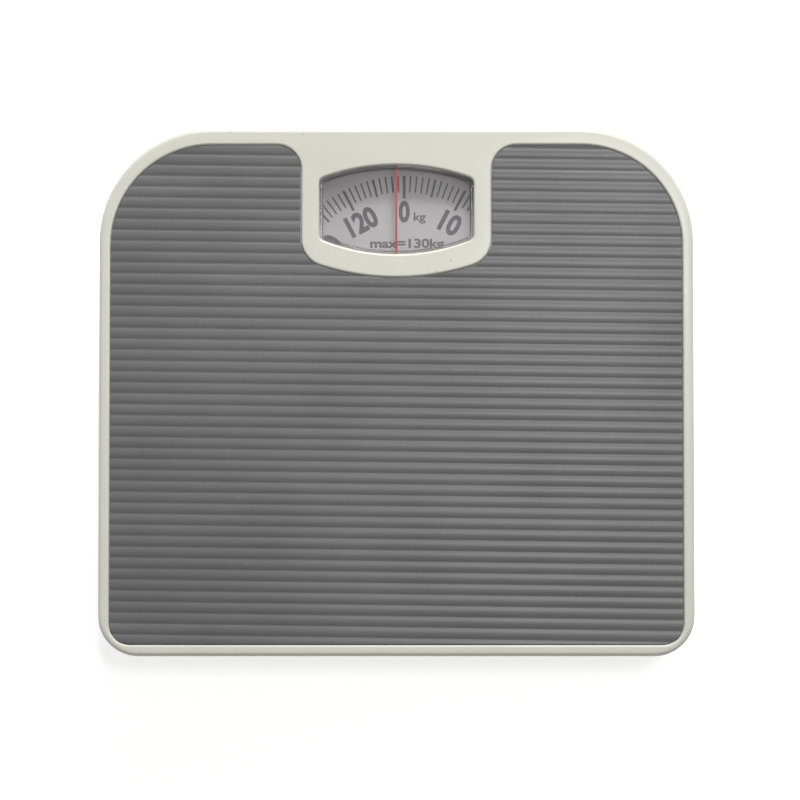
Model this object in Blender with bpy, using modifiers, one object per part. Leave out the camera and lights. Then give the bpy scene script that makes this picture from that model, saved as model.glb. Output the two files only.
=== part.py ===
"""Mechanical bathroom scale.

A pressed steel platform with a ribbed mat and a window stands on four load pins. Two long levers and two
short ones carry the load to a spring plate, which hangs on the main spring. The plate lets a crank swing, the
crank pulls a rack, and the rack turns the dial under the window. A wheel at the far edge lifts the bridge that
holds the main spring, which sets the dial to zero.

X is across the scale, +Y points to the far edge, where the dial is, and Z is up from the ground.
"""

import math

import bmesh
import bpy
from mathutils import Matrix, Vector

MM = 0.001

# Plan of the platform
WIDTH = 265 * MM
DEPTH = 235 * MM
FAR_CORNER = 50.5 * MM
NEAR_CORNER = 18 * MM

# Stack, from the ground up
FOOT_HEIGHT = 8 * MM  # ground to the underside of the base
MECHANISM_HEIGHT = 30.5 * MM  # floor of the base to the dial's face
DIAL_SINK = 10.5 * MM  # dial's face to the top of the platform

# Sheet and clearances
SHEET = 1.0 * MM  # cover and base
BRACKET_SHEET = 1.5 * MM
LEVER_SHEET = 2.0 * MM
SEAT = 0.3 * MM  # gap between a piece and what it rests on or passes through

# Base
BASE_INSET = 4.5 * MM  # base wall inside the platform's outline
BASE_WALL = 22 * MM
EDGE_BEND = 3 * MM
SKIRT_OVERLAP = 5 * MM  # how far the cover's skirt hangs below the base's rim
FOOT_RADIUS = 9 * MM
FOOT_STEM = 3 * MM
FOOT_HEAD = 4.5 * MM
RIVET_RADIUS = 1.7 * MM
RIVET_HEAD = 3 * MM
RIVET_HEAD_THICKNESS = 0.7 * MM

# Mat and its recess in the cover
SIDE_BORDER = 5.4 * MM
NEAR_BORDER = 5.6 * MM
FAR_BORDER = 7.75 * MM
MAT_FAR_CORNER = 44.8 * MM
MAT_NEAR_CORNER = 9 * MM
MAT_THICKNESS = 1.4 * MM
RIB_PITCH = 4.86 * MM
RIB_HEIGHT = 0.6 * MM
RIB_FOOT = 2.25 * MM  # half a rib's width at its foot
RIB_CREST = 1.5 * MM  # half a rib's width at its crest
RIB_SKEW = math.radians(-0.8)  # the ribs run a little askew

# Window, and the notch in the mat around it
WINDOW_HALF_WIDTH = 34.4 * MM
WINDOW_LENGTH = 40.6 * MM
WINDOW_INSET = 15.7 * MM  # far edge of the platform to the window
WINDOW_FAR_ARC = 97.5 * MM
WINDOW_NEAR_ARC = 89 * MM
WINDOW_CORNER = 3 * MM
COLLAR_DEPTH = 3.5 * MM
NOTCH_SIDE = 8.3 * MM  # window to the mat, at the sides
NOTCH_NEAR = 10.7 * MM  # window to the mat, at the near edge
NOTCH_ARC = 110 * MM
NOTCH_FILLET = 12.5 * MM
NOTCH_MOUTH = 10.8 * MM
LENS_FLANGE = 2.2 * MM
LENS_SHEET = 1.3 * MM
RETAINER_RIM = 6 * MM
RETAINER_SHEET = 1.4 * MM

# Levers
PIN_RADIUS = 2.3 * MM
PIN_END = 1.5 * MM  # pin beyond its bracket
LEVER_LEVEL = 11 * MM  # pins above the base's floor
LEVER_HALF_HEIGHT = 6 * MM
LEVER_TAIL = 9 * MM
SIDE_PLAY = 1.5 * MM  # lever to its bracket's legs
LOAD_ARM = 24 * MM  # fulcrum pin to load pin
PLATFORM_TRAVEL = 1.0 * MM
LONG_FULCRUM_INSET = (34.5 * MM, 33.5 * MM)  # from the side and from the near edge
SHORT_FULCRUM_INSET = (32.5 * MM, 39.5 * MM)  # from the side and from the far edge
BRACKET_HALF = (12 * MM, 13 * MM)
LEG_HALF = 6 * MM
LEG_ABOVE_PIN = 4 * MM
RIVET_SPREAD = 8.5 * MM

# Spring plate, main spring and bridge
SPRING_INSET = 35.5 * MM  # spring's axis from the far edge
NOSE_SPREAD = 12 * MM  # each long lever's nose from the middle
NOSE_DROP = 0.2 * MM
PLATE_HALF_WIDTH = 17 * MM
PLATE_HALF_DEPTH = 5.5 * MM
PLATE_SHEET = 2 * MM
SPRING_RADIUS = 6.6 * MM  # middle of the wire
SPRING_WIRE = 1.1 * MM
SPRING_TURNS = 4.5
PLUG_LENGTH = 4.7 * MM  # plug inside the spring's end
BRIDGE_LEVEL = 24 * MM  # underside of the bridge above the base's floor
BRIDGE_SHEET = 2 * MM
BRIDGE_HALF_WIDTH = 18.5 * MM
BRIDGE_ARM = 5 * MM  # spring's axis from the bridge's pins
BRIDGE_PIN_RADIUS = 1.5 * MM
BRIDGE_PIN_DROP = 2.5 * MM
POST_SHEET = 2 * MM
POST_GAP = 1.5 * MM

# Zero wheel and its screw
WHEEL_INSET = 13.5 * MM
WHEEL_RADIUS = 13 * MM
WHEEL_THICKNESS = 5.4 * MM
WHEEL_NOTCHES = 30
SCREW_RADIUS = 2 * MM

# Dial, pinion, rack and crank
DIAL_INSET = 79 * MM
DIAL_RADIUS = 68 * MM
DIAL_SHEET = 0.8 * MM
DIAL_X = 3.5 * MM
SHAFT_RADIUS = 1.25 * MM
BUSH_RADIUS = 3.2 * MM
PINION_TEETH = 10
MODULE = 0.5 * MM
PRESSURE_ANGLE = math.radians(25)
BACKLASH = 0.2 * MM
TOOTH_HEIGHT = 0.35 * MM
RACK_TOOTH_HEIGHT = 0.4 * MM
RACK_ROOT = 0.6 * MM
RACK_THICKNESS = 3 * MM
RACK_BACK = 4 * MM  # pitch line to the rack's back
RACK_LEVEL = 25.5 * MM  # middle of the rack above the base's floor
GUIDE_BASE = 3 * MM  # dial bracket to the rack
CRANK_OFFSET = 20 * MM  # crank's pin from the spring's axis
CRANK_SHEET = 2 * MM
CRANK_TIP = 2.5 * MM
CRANK_HUB = 3.5 * MM
CRANK_PIN = 1.5 * MM
RACK_PIN = 1.0 * MM
FORK_PLAY = 0.5 * MM
PEG_RADIUS = 0.8 * MM
POST_RADIUS = 1.2 * MM

# Springs that hold the cover on the base
KEEPER_INSET = 20.5 * MM
KEEPER_Y = -20 * MM
KEEPER_RADIUS = 3 * MM
KEEPER_WIRE = 0.5 * MM
KEEPER_TURNS = 8
LUG_WIDTH = 8 * MM
LUG_HOLE = 1.2 * MM

# Levels that follow from the stack
FLOOR = FOOT_HEIGHT + SHEET
DIAL_TOP = FLOOR + MECHANISM_HEIGHT
HEIGHT = DIAL_TOP + DIAL_SINK
RIM = FOOT_HEIGHT + BASE_WALL
BRACKET_LOW = FLOOR + SEAT
PIN_LEVEL = FLOOR + LEVER_LEVEL
RECESS_FLOOR = HEIGHT - MAT_THICKNESS - SEAT
RECESS_UNDERSIDE = RECESS_FLOOR - SHEET
COLLAR_LOW = HEIGHT - COLLAR_DEPTH
PLATE_TOP = PIN_LEVEL - NOSE_DROP - SEAT
BRIDGE_LOW = FLOOR + BRIDGE_LEVEL
RACK_Z = FLOOR + RACK_LEVEL
BRACKET_TOP = RACK_Z - RACK_THICKNESS / 2 - GUIDE_BASE
DIAL_LOW = DIAL_TOP - DIAL_SHEET

# Places in plan that follow from the outline
FAR = DEPTH / 2
SPRING_Y = FAR - SPRING_INSET
WHEEL_Y = FAR - WHEEL_INSET
DIAL_Y = FAR - DIAL_INSET
BRIDGE_PIN_Y = SPRING_Y - BRIDGE_ARM
CRANK_Y = SPRING_Y - CRANK_OFFSET
LEG_OUTER = LEVER_SHEET / 2 + SIDE_PLAY + BRACKET_SHEET

# Lever train: the two lever lengths and how far each piece moves under a full load
LONG_FULCRUM = Vector((WIDTH / 2 - LONG_FULCRUM_INSET[0], -FAR + LONG_FULCRUM_INSET[1]))
SHORT_FULCRUM = Vector((WIDTH / 2 - SHORT_FULCRUM_INSET[0], FAR - SHORT_FULCRUM_INSET[1]))
NOSE = Vector((NOSE_SPREAD, SPRING_Y))
LONG_LENGTH = (NOSE - LONG_FULCRUM).length
LONG_WAY = (NOSE - LONG_FULCRUM) / LONG_LENGTH
BETWEEN = LONG_FULCRUM - SHORT_FULCRUM
SHORT_LENGTH = -BETWEEN.length_squared / (2 * BETWEEN.dot(LONG_WAY))  # meets the long lever at equal arms
SHORT_WAY = (LONG_FULCRUM + LONG_WAY * SHORT_LENGTH - SHORT_FULCRUM) / SHORT_LENGTH
NOSE_TRAVEL = PLATFORM_TRAVEL * LONG_LENGTH / LOAD_ARM

# Rack and crank: one turn of the pinion for a full load
PITCH_RADIUS = MODULE * PINION_TEETH / 2
RACK_TRAVEL = 2 * math.pi * PITCH_RADIUS
PITCH_LINE = DIAL_X + PITCH_RADIUS
CRANK_Z = PLATE_TOP + SEAT + CRANK_TIP - NOSE_TRAVEL / 2
CRANK_RISE = RACK_Z - CRANK_Z
HALF_SWING = math.atan(RACK_TRAVEL / 2 / CRANK_RISE)
CRANK_REACH = NOSE_TRAVEL / 2 / math.sin(HALF_SWING)
RACK_PIN_Y = CRANK_Y - RACK_TRAVEL / 2
CRANK_X = (PITCH_LINE - CRANK_SHEET / 2, PITCH_LINE + CRANK_SHEET / 2)

SIDES = (("left", -1), ("right", 1))
FEET = {
    "foot_near": (WIDTH / 2 - 20.5 * MM, -FAR + 19.5 * MM),
    "foot_far": (WIDTH / 2 - 48.5 * MM, FAR - 20.5 * MM),
}
CRANK_RIVETS = [(PITCH_LINE - 7 * MM, CRANK_Y - 6 * MM), (PITCH_LINE + 3 * MM, CRANK_Y - 6 * MM)]
CAGE_RIVET = WHEEL_RADIUS + 5.5 * MM
POST_RIVET = BRIDGE_HALF_WIDTH + POST_GAP + 6 * MM
SPRING_POST = (DIAL_X + 12.5 * MM, CRANK_Y - 8 * MM)
DIAL_SCREWS = (DIAL_X - 20.5 * MM, DIAL_X + 20.5 * MM)

scene_objects = bpy.data.objects
parts = None
cutters = None
finishes = {}


# ---------------------------------------------------------------------------------------------------------
# Scene, finishes and joints


def clear_scene():
    for item in list(scene_objects):
        scene_objects.remove(item)


def new_collection(name):
    collection = bpy.data.collections.new(name)
    bpy.context.scene.collection.children.link(collection)
    return collection


def new_finish(name, colour, roughness, metallic):
    finish = bpy.data.materials.new(name)
    finish.use_nodes = True
    shader = finish.node_tree.nodes["Principled BSDF"]
    shader.inputs["Base Color"].default_value = (*colour, 1)
    shader.inputs["Roughness"].default_value = roughness
    shader.inputs["Metallic"].default_value = metallic
    finish.diffuse_color = (*colour, 1)
    finishes[name] = finish


def make_finishes():
    new_finish("cream_paint", (0.70, 0.68, 0.60), 0.4, 0.0)
    new_finish("grey_vinyl", (0.18, 0.18, 0.18), 0.6, 0.0)
    new_finish("clear_plastic", (0.9, 0.9, 0.9), 0.1, 0.0)
    new_finish("black_plastic", (0.03, 0.03, 0.03), 0.5, 0.0)
    new_finish("white_card", (0.5, 0.48, 0.49), 0.6, 0.0)
    new_finish("zinc_steel", (0.55, 0.56, 0.57), 0.35, 1.0)
    new_finish("spring_steel", (0.35, 0.35, 0.36), 0.3, 1.0)
    new_finish("brass", (0.72, 0.52, 0.22), 0.3, 1.0)
    new_finish("foot_rubber", (0.05, 0.05, 0.05), 0.8, 0.0)


def joint_axis(name, place, heading=0.0):
    """An empty on a joint's axis, which carries the pieces that move about it."""
    axis = scene_objects.new(name, None)
    axis.empty_display_size = 0.01
    axis.matrix_basis = Matrix.Translation(place) @ Matrix.Rotation(heading, 4, "Z")
    parts.objects.link(axis)
    return axis


def carry(axis, *pieces):
    for piece in pieces:
        piece.parent = axis
        piece.matrix_parent_inverse = axis.matrix_basis.inverted()


# ---------------------------------------------------------------------------------------------------------
# Placing frames


def flat(x=0.0, y=0.0, heading=0.0):
    """Outline in plan, extruded upwards."""
    return Matrix.Translation((x, y, 0)) @ Matrix.Rotation(heading, 4, "Z")


def upright(x=0.0, y=0.0, z=0.0, heading=0.0):
    """Outline in the vertical plane along the heading, extruded to both sides of it."""
    turn = Matrix.Rotation(heading, 4, "Z") @ Matrix.Rotation(math.pi / 2, 4, "X")
    return Matrix.Translation((x, y, z)) @ turn


def along_x(x=0.0):
    """Outline drawn in Y and Z, extruded along X."""
    columns = ((0, 1, 0), (0, 0, 1), (1, 0, 0))
    return Matrix.Translation((x, 0, 0)) @ Matrix(columns).transposed().to_4x4()


# ---------------------------------------------------------------------------------------------------------
# Basic shapes


def add(name, mesh, frame):
    piece = scene_objects.new(name, mesh)
    piece.name = name
    piece.matrix_world = frame
    parts.objects.link(piece)
    return piece


def evaluated_mesh(piece):
    bpy.context.view_layer.update()
    view = bpy.context.evaluated_depsgraph_get()
    return bpy.data.meshes.new_from_object(piece.evaluated_get(view))


def weld(mesh):
    work = bmesh.new()
    work.from_mesh(mesh)
    bmesh.ops.remove_doubles(work, verts=work.verts, dist=1e-6)
    bmesh.ops.recalc_face_normals(work, faces=work.faces)
    work.to_mesh(mesh)
    work.free()


def extrusion(name, outlines, low, high, frame=Matrix()):
    """A flat outline, with its holes, filled and extruded from low to high along the frame's Z."""
    curve = bpy.data.curves.new(name, "CURVE")
    curve.dimensions = "2D"
    curve.fill_mode = "BOTH"
    curve.render_resolution_u = 0
    curve.extrude = (high - low) / 2
    for outline in outlines:
        spline = curve.splines.new("POLY")
        spline.points.add(len(outline) - 1)
        for point, (x, y) in zip(spline.points, outline):
            point.co = (x, y, 0, 1)
        spline.use_cyclic_u = True
    source = add(name + "_curve", curve, frame @ Matrix.Translation((0, 0, (low + high) / 2)))
    mesh = evaluated_mesh(source)
    weld(mesh)
    piece = add(name, mesh, source.matrix_world)
    scene_objects.remove(source)
    return piece


def block(name, x, y, z, frame=Matrix()):
    """A box between three pairs of limits."""
    work = bmesh.new()
    bmesh.ops.create_cube(work, size=1)
    size = [high - low for low, high in (x, y, z)]
    middle = [(low + high) / 2 for low, high in (x, y, z)]
    bmesh.ops.scale(work, vec=size, verts=work.verts)
    bmesh.ops.translate(work, vec=middle, verts=work.verts)
    mesh = bpy.data.meshes.new(name)
    work.to_mesh(mesh)
    work.free()
    return add(name, mesh, frame)


def cylinders(name, places, low, high, frame=Matrix(), sides=16):
    """One or more cylinders along the frame's Z, each given as (x, y, radius)."""
    work = bmesh.new()
    for x, y, radius in places:
        place = Matrix.Translation((x, y, (low + high) / 2))
        bmesh.ops.create_cone(work, cap_ends=True, segments=sides, radius1=radius, radius2=radius,
                              depth=high - low, matrix=place)
    mesh = bpy.data.meshes.new(name)
    work.to_mesh(mesh)
    work.free()
    return add(name, mesh, frame)


def turned(name, profile, frame=Matrix(), bored=False, steps=20):
    """A profile of (radius, z), from the top down its outer side, turned about the frame's Z."""
    points = [(radius, 0, z) for radius, z in profile]
    edges = [(i, i + 1) for i in range(len(points) - 1)]
    if bored:
        edges.append((len(points) - 1, 0))
    mesh = bpy.data.meshes.new(name)
    mesh.from_pydata(points, edges, [])
    piece = add(name, mesh, frame)
    screw = piece.modifiers.new("turn", "SCREW")
    screw.steps = steps
    screw.render_steps = steps
    screw.use_merge_vertices = True
    screw.merge_threshold = 1e-6
    screw.use_smooth_shade = False
    return piece


def wire(name, points, radius):
    """A round wire through its points."""
    curve = bpy.data.curves.new(name, "CURVE")
    curve.dimensions = "3D"
    curve.bevel_depth = radius
    curve.bevel_resolution = 2
    curve.use_fill_caps = True
    curve.render_resolution_u = 0
    spline = curve.splines.new("POLY")
    spline.points.add(len(points) - 1)
    for point, place in zip(spline.points, points):
        point.co = (*place, 1)
    return add(name, curve, Matrix())


def combine(piece, operation, *tools):
    for tool in tools:
        modifier = piece.modifiers.new(tool.name, "BOOLEAN")
        modifier.operation = operation
        modifier.object = tool
        tool.display_type = "WIRE"
        tool.hide_render = True
        for collection in list(tool.users_collection):
            collection.objects.unlink(tool)
        cutters.objects.link(tool)


def join(piece, *tools):
    combine(piece, "UNION", *tools)


def cut(piece, *tools):
    combine(piece, "DIFFERENCE", *tools)


def keep_inside(piece, tool):
    combine(piece, "INTERSECT", tool)


def finish(piece, name):
    piece.data.materials.clear()
    piece.data.materials.append(finishes[name])
    return piece


def settle(piece):
    """Replace a piece's modifiers by their result, so that copies can share it."""
    mesh = evaluated_mesh(piece)
    piece.modifiers.clear()
    piece.data = mesh
    return piece


def copy_of(piece, name, frame):
    return add(name, piece.data, frame)


# ---------------------------------------------------------------------------------------------------------
# Outlines


def arc(x, y, radius, start, end, steps):
    """Points on an arc between two angles in degrees, both ends included."""
    angles = [math.radians(start + (end - start) * i / steps) for i in range(steps + 1)]
    return [(x + radius * math.cos(angle), y + radius * math.sin(angle)) for angle in angles]


def plan_outline(inset):
    """The platform's outline, drawn in by inset."""
    side = WIDTH / 2 - inset
    near = NEAR_CORNER - inset
    far = FAR_CORNER - inset
    low = -FAR + inset
    high = FAR - inset
    return (
        arc(-side + near, low + near, near, 180, 270, 5)
        + arc(side - near, low + near, near, 270, 360, 5)
        + arc(side - far, high - far, far, 0, 90, 10)
        + arc(-side + far, high - far, far, 90, 180, 10)
    )


def window_outline(grow):
    """The window's outline: two straight sides between a near and a far arc."""
    side = WINDOW_HALF_WIDTH + grow
    corner = WINDOW_CORNER + grow
    far_radius = WINDOW_FAR_ARC + grow
    near_radius = WINDOW_NEAR_ARC + grow
    far_y = FAR - WINDOW_INSET + grow - far_radius
    near_y = FAR - WINDOW_INSET - WINDOW_LENGTH - grow + near_radius
    reach = side - corner
    far_turn = math.degrees(math.asin(reach / (far_radius - corner)))
    near_turn = math.degrees(math.asin(reach / (near_radius - corner)))
    far_corner_y = far_y + math.sqrt((far_radius - corner) ** 2 - reach ** 2)
    near_corner_y = near_y - math.sqrt((near_radius - corner) ** 2 - reach ** 2)
    return (
        arc(-reach, near_corner_y, corner, 180, 270 - near_turn, 3)[:-1]
        + arc(0, near_y, near_radius, 270 - near_turn, 270 + near_turn, 6)
        + arc(reach, near_corner_y, corner, 270 + near_turn, 360, 3)[1:]
        + arc(reach, far_corner_y, corner, 0, 90 - far_turn, 3)[:-1]
        + arc(0, far_y, far_radius, 90 - far_turn, 90 + far_turn, 6)
        + arc(-reach, far_corner_y, corner, 90 + far_turn, 180, 3)[1:]
    )


def mat_outline(grow):
    """The mat's outline, with the notch that leaves the window's surround free."""
    side = WIDTH / 2 - SIDE_BORDER + grow
    low = -FAR + NEAR_BORDER - grow
    high = FAR - FAR_BORDER + grow
    near = MAT_NEAR_CORNER + grow
    far = MAT_FAR_CORNER + grow
    mouth = NOTCH_MOUTH + grow
    notch = WINDOW_HALF_WIDTH + NOTCH_SIDE - grow
    fillet = NOTCH_FILLET - grow
    radius = NOTCH_ARC - grow
    arc_y = FAR - WINDOW_INSET - WINDOW_LENGTH - NOTCH_NEAR + NOTCH_ARC
    reach = notch - fillet
    turn = math.degrees(math.asin(reach / (radius - fillet)))
    fillet_y = arc_y - math.sqrt((radius - fillet) ** 2 - reach ** 2)
    return (
        arc(-side + near, low + near, near, 180, 270, 4)
        + arc(side - near, low + near, near, 270, 360, 4)
        + arc(side - far, high - far, far, 0, 90, 10)
        + arc(notch + mouth, high - mouth, mouth, 90, 180, 5)
        + arc(reach, fillet_y, fillet, 0, turn - 90, 5)[:-1]
        + arc(0, arc_y, radius, turn - 90, -turn - 90, 5)
        + arc(-reach, fillet_y, fillet, -turn - 90, -180, 5)[1:]
        + arc(-notch - mouth, high - mouth, mouth, 0, 90, 5)
        + arc(-side + far, high - far, far, 90, 180, 10)
    )


def box_outline(x, y):
    return [(x[0], y[0]), (x[1], y[0]), (x[1], y[1]), (x[0], y[1])]


def circle(x, y, radius, steps=16):
    return arc(x, y, radius, 0, 360, steps)[:-1]


def mirrored(outline):
    return [(-x, y) for x, y in reversed(outline)]


# ---------------------------------------------------------------------------------------------------------
# Base pan, feet and brackets


def pressed_pan(name, outline, face, rim):
    """A pressing of one sheet: a flat face, a bend and a wall from face to rim, thickened inwards."""
    work = bmesh.new()
    corners = [work.verts.new((x, y, face)) for x, y in outline]
    edges = [work.edges.new((corner, corners[i - 1])) for i, corner in enumerate(corners)]
    bmesh.ops.edgeloop_fill(work, edges=edges)
    wall = bmesh.ops.extrude_edge_only(work, edges=edges)["geom"]
    lower = [item for item in wall if isinstance(item, bmesh.types.BMVert)]
    bmesh.ops.translate(work, verts=lower, vec=(0, 0, rim - face))
    bmesh.ops.bevel(work, geom=edges, offset=EDGE_BEND, segments=3, profile=0.5, affect="EDGES")
    bmesh.ops.recalc_face_normals(work, faces=work.faces)
    largest = max(work.faces, key=lambda item: item.calc_area())
    if largest.normal.z * (face - rim) < 0:
        bmesh.ops.reverse_faces(work, faces=work.faces)
    mesh = bpy.data.meshes.new(name)
    work.to_mesh(mesh)
    work.free()
    pan = add(name, mesh, Matrix())
    thicken = pan.modifiers.new("sheet", "SOLIDIFY")
    thicken.thickness = SHEET
    thicken.offset = -1
    thicken.use_even_offset = True
    thicken.use_quality_normals = True
    return pan


def bracket_rivets():
    """Every rivet place in the base's floor."""
    places = list(CRANK_RIVETS) + [SPRING_POST, (DIAL_X, DIAL_Y)]
    for _, side in SIDES:
        places.append((side * CAGE_RIVET, WHEEL_Y))
        places.append((side * POST_RIVET, BRIDGE_PIN_Y))
        for fulcrum, way in ((LONG_FULCRUM, LONG_WAY), (SHORT_FULCRUM, SHORT_WAY)):
            for spread in (-RIVET_SPREAD, RIVET_SPREAD):
                places.append((side * (fulcrum.x - way.y * spread), fulcrum.y + way.x * spread))
    return places


def make_base_pan():
    pan = pressed_pan("base_pan", plan_outline(BASE_INSET), FOOT_HEIGHT, RIM)
    holes = [(x, y, RIVET_RADIUS + SEAT) for x, y in bracket_rivets()]
    holes += [(x, DIAL_Y, RIVET_RADIUS) for x in DIAL_SCREWS]
    holes += [(side * x, y, FOOT_STEM + SEAT) for x, y in FEET.values() for _, side in SIDES]
    holes.append((0, WHEEL_Y, SCREW_RADIUS + SEAT))
    cut(pan, cylinders("floor_holes", holes, FOOT_HEIGHT - 2 * MM, FLOOR + 2 * MM, sides=12))
    slot_x = WHEEL_RADIUS - 1.5 * MM
    slot_z = (FLOOR + 0.2 * MM, FLOOR + SEAT * 2 + WHEEL_THICKNESS + 0.6 * MM)
    cut(pan, block("wheel_slot", (-slot_x, slot_x), (FAR - WHEEL_INSET, FAR), slot_z))
    for label, side in SIDES:
        x = side * (WIDTH / 2 - KEEPER_INSET)
        lug = keeper_lug("base_lug_" + label, x, FLOOR - SHEET / 2, FLOOR + 6 * MM, FLOOR + 4 * MM)
        join(pan, lug)
    finish(pan, "cream_paint")
    return pan


def keeper_lug(name, x, low, high, hole):
    """An upright tab with a hole for a keeper spring's hook."""
    y = (KEEPER_Y - LUG_WIDTH / 2, KEEPER_Y + LUG_WIDTH / 2)
    outlines = [box_outline(y, (low, high)), circle(KEEPER_Y, hole, LUG_HOLE, 12)]
    return extrusion(name, outlines, -BRACKET_SHEET / 2, BRACKET_SHEET / 2, along_x(x))


def make_feet():
    head = FLOOR + SEAT + 1.2 * MM
    pad = FOOT_HEIGHT - SEAT
    profile = [
        (0, head), (FOOT_HEAD, head), (FOOT_HEAD, FLOOR + SEAT), (FOOT_STEM, FLOOR + SEAT), (FOOT_STEM, pad),
        (FOOT_RADIUS - 1 * MM, pad), (FOOT_RADIUS, pad - 1 * MM), (FOOT_RADIUS, 1 * MM),
        (FOOT_RADIUS - 1 * MM, 0), (0, 0),
    ]
    for name, (x, y) in FEET.items():
        for label, side in SIDES:
            finish(turned(name + "_" + label, profile, flat(side * x, y), steps=24), "foot_rubber")


def rivet(name, x, y, top, frame=Matrix()):
    """A rivet clinched under the base's floor, with its shank sunk in the piece above."""
    head = FOOT_HEIGHT - SEAT
    profile = [
        (0, top), (RIVET_RADIUS, top), (RIVET_RADIUS, head), (RIVET_HEAD, head),
        (RIVET_HEAD, head - RIVET_HEAD_THICKNESS), (0, head - RIVET_HEAD_THICKNESS),
    ]
    return turned(name, profile, frame @ Matrix.Translation((x, y, 0)), steps=12)


def notched_leg(low, high, notch, opening):
    """A bracket's leg in its own plane, with a round-ended notch for a pin open to one end."""
    hole = PIN_RADIUS + SEAT
    end = high if opening > 0 else low
    start = low if opening > 0 else high
    half_round = arc(0, notch, hole, 180, 360, 8) if opening > 0 else arc(0, notch, hole, 180, 0, 8)
    return [(-LEG_HALF, start), (-LEG_HALF, end), (-hole, end)] + half_round + [
        (hole, end), (LEG_HALF, end), (LEG_HALF, start)
    ]


def pin_bracket(name, plate, leg):
    """A plate with two legs that stand on either side of a lever."""
    x = (-BRACKET_HALF[0], BRACKET_HALF[0])
    y = (-BRACKET_HALF[1], BRACKET_HALF[1])
    bracket = block(name, x, y, plate)
    for label, side in SIDES:
        sheet = sorted((side * (LEG_OUTER - BRACKET_SHEET), side * LEG_OUTER))
        join(bracket, extrusion(name + "_leg_" + label, [leg], *sheet, upright()))
    return bracket


def lever_places(step=0.0):
    """Place and heading at a step along each of the four levers."""
    places = {}
    for kind, fulcrum, way in (("long", LONG_FULCRUM, LONG_WAY), ("short", SHORT_FULCRUM, SHORT_WAY)):
        place = fulcrum + way * step
        for label, side in SIDES:
            places[kind + "_" + label] = (side * place.x, place.y, math.atan2(way.y, side * way.x))
    return places


def make_fulcrum_brackets():
    plate = (BRACKET_LOW, BRACKET_LOW + BRACKET_SHEET)
    leg = notched_leg(BRACKET_LOW + BRACKET_SHEET / 2, PIN_LEVEL + LEG_ABOVE_PIN, PIN_LEVEL, 1)
    master = pin_bracket("fulcrum_bracket", plate, leg)
    top = BRACKET_LOW + BRACKET_SHEET / 2
    for label, spread in (("a", -RIVET_SPREAD), ("b", RIVET_SPREAD)):
        join(master, rivet("fulcrum_rivet_" + label, 0, spread, top))
    spread_copies(finish(settle(master), "zinc_steel"), lever_places())


def make_load_brackets():
    plate = (RECESS_UNDERSIDE - SEAT - BRACKET_SHEET, RECESS_UNDERSIDE - SEAT)
    leg = notched_leg(PIN_LEVEL - PIN_RADIUS - SEAT, plate[0] + BRACKET_SHEET / 2, PIN_LEVEL, -1)
    master = pin_bracket("load_bracket", plate, leg)
    return spread_copies(finish(settle(master), "zinc_steel"), lever_places(LOAD_ARM))


def spread_copies(master, places):
    """Put a copy of the master at each place, named after it, and remove the master."""
    name = master.name
    copies = [copy_of(master, name + "_" + label, flat(*place)) for label, place in places.items()]
    scene_objects.remove(master)
    return copies


# ---------------------------------------------------------------------------------------------------------
# Levers and their pins


def long_lever_outline():
    """Side view of a long lever: deep at its pins, tapering to a nose that presses on the spring plate."""
    half = LEVER_HALF_HEIGHT
    shoulder = LOAD_ARM + LEVER_TAIL
    return [
        (-LEVER_TAIL, -half), (shoulder, -half), (LONG_LENGTH - 10 * MM, -NOSE_DROP),
        (LONG_LENGTH + 6 * MM, -NOSE_DROP), (LONG_LENGTH + 6 * MM, half - NOSE_DROP), (shoulder, half),
        (-LEVER_TAIL, half),
    ]


def short_lever_outline():
    """Side view of a short lever, whose raised tip rests on the top edge of the long one."""
    half = LEVER_HALF_HEIGHT
    shoulder = LOAD_ARM + LEVER_TAIL
    tip_low = half + SEAT
    tip_high = tip_low + 3.2 * MM
    length = SHORT_LENGTH
    return [
        (-LEVER_TAIL, -half), (shoulder, -half), (length - 4.5 * MM, 0), (length - 4.5 * MM, tip_low),
        (length + 4 * MM, tip_low), (length + 4 * MM, tip_high), (length - 12 * MM, tip_high),
        (length - 18 * MM, half), (-LEVER_TAIL, half),
    ]


def make_levers():
    sheet = LEVER_SHEET / 2
    hole = PIN_RADIUS + SEAT
    holes = [circle(0, 0, hole), circle(LOAD_ARM, 0, hole)]
    reach = LEG_OUTER + PIN_END
    outlines = {"long": long_lever_outline(), "short": short_lever_outline()}
    for label, (x, y, heading) in lever_places().items():
        kind, side = label.split("_")
        frame = upright(x, y, PIN_LEVEL, heading)
        lever = extrusion(kind + "_lever_" + side, [outlines[kind]] + holes, -sheet, sheet, frame)
        fulcrum = cylinders("fulcrum_pin_" + label, [(0, 0, PIN_RADIUS)], -reach, reach, frame)
        load = cylinders("load_pin_" + label, [(LOAD_ARM, 0, PIN_RADIUS)], -reach, reach, frame)
        axis = joint_axis(lever.name + "_axis", (x, y, PIN_LEVEL), heading)
        carry(axis, finish(lever, "zinc_steel"), finish(fulcrum, "spring_steel"), finish(load, "spring_steel"))


# ---------------------------------------------------------------------------------------------------------
# Spring plate, main spring, bridge and zero wheel


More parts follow.
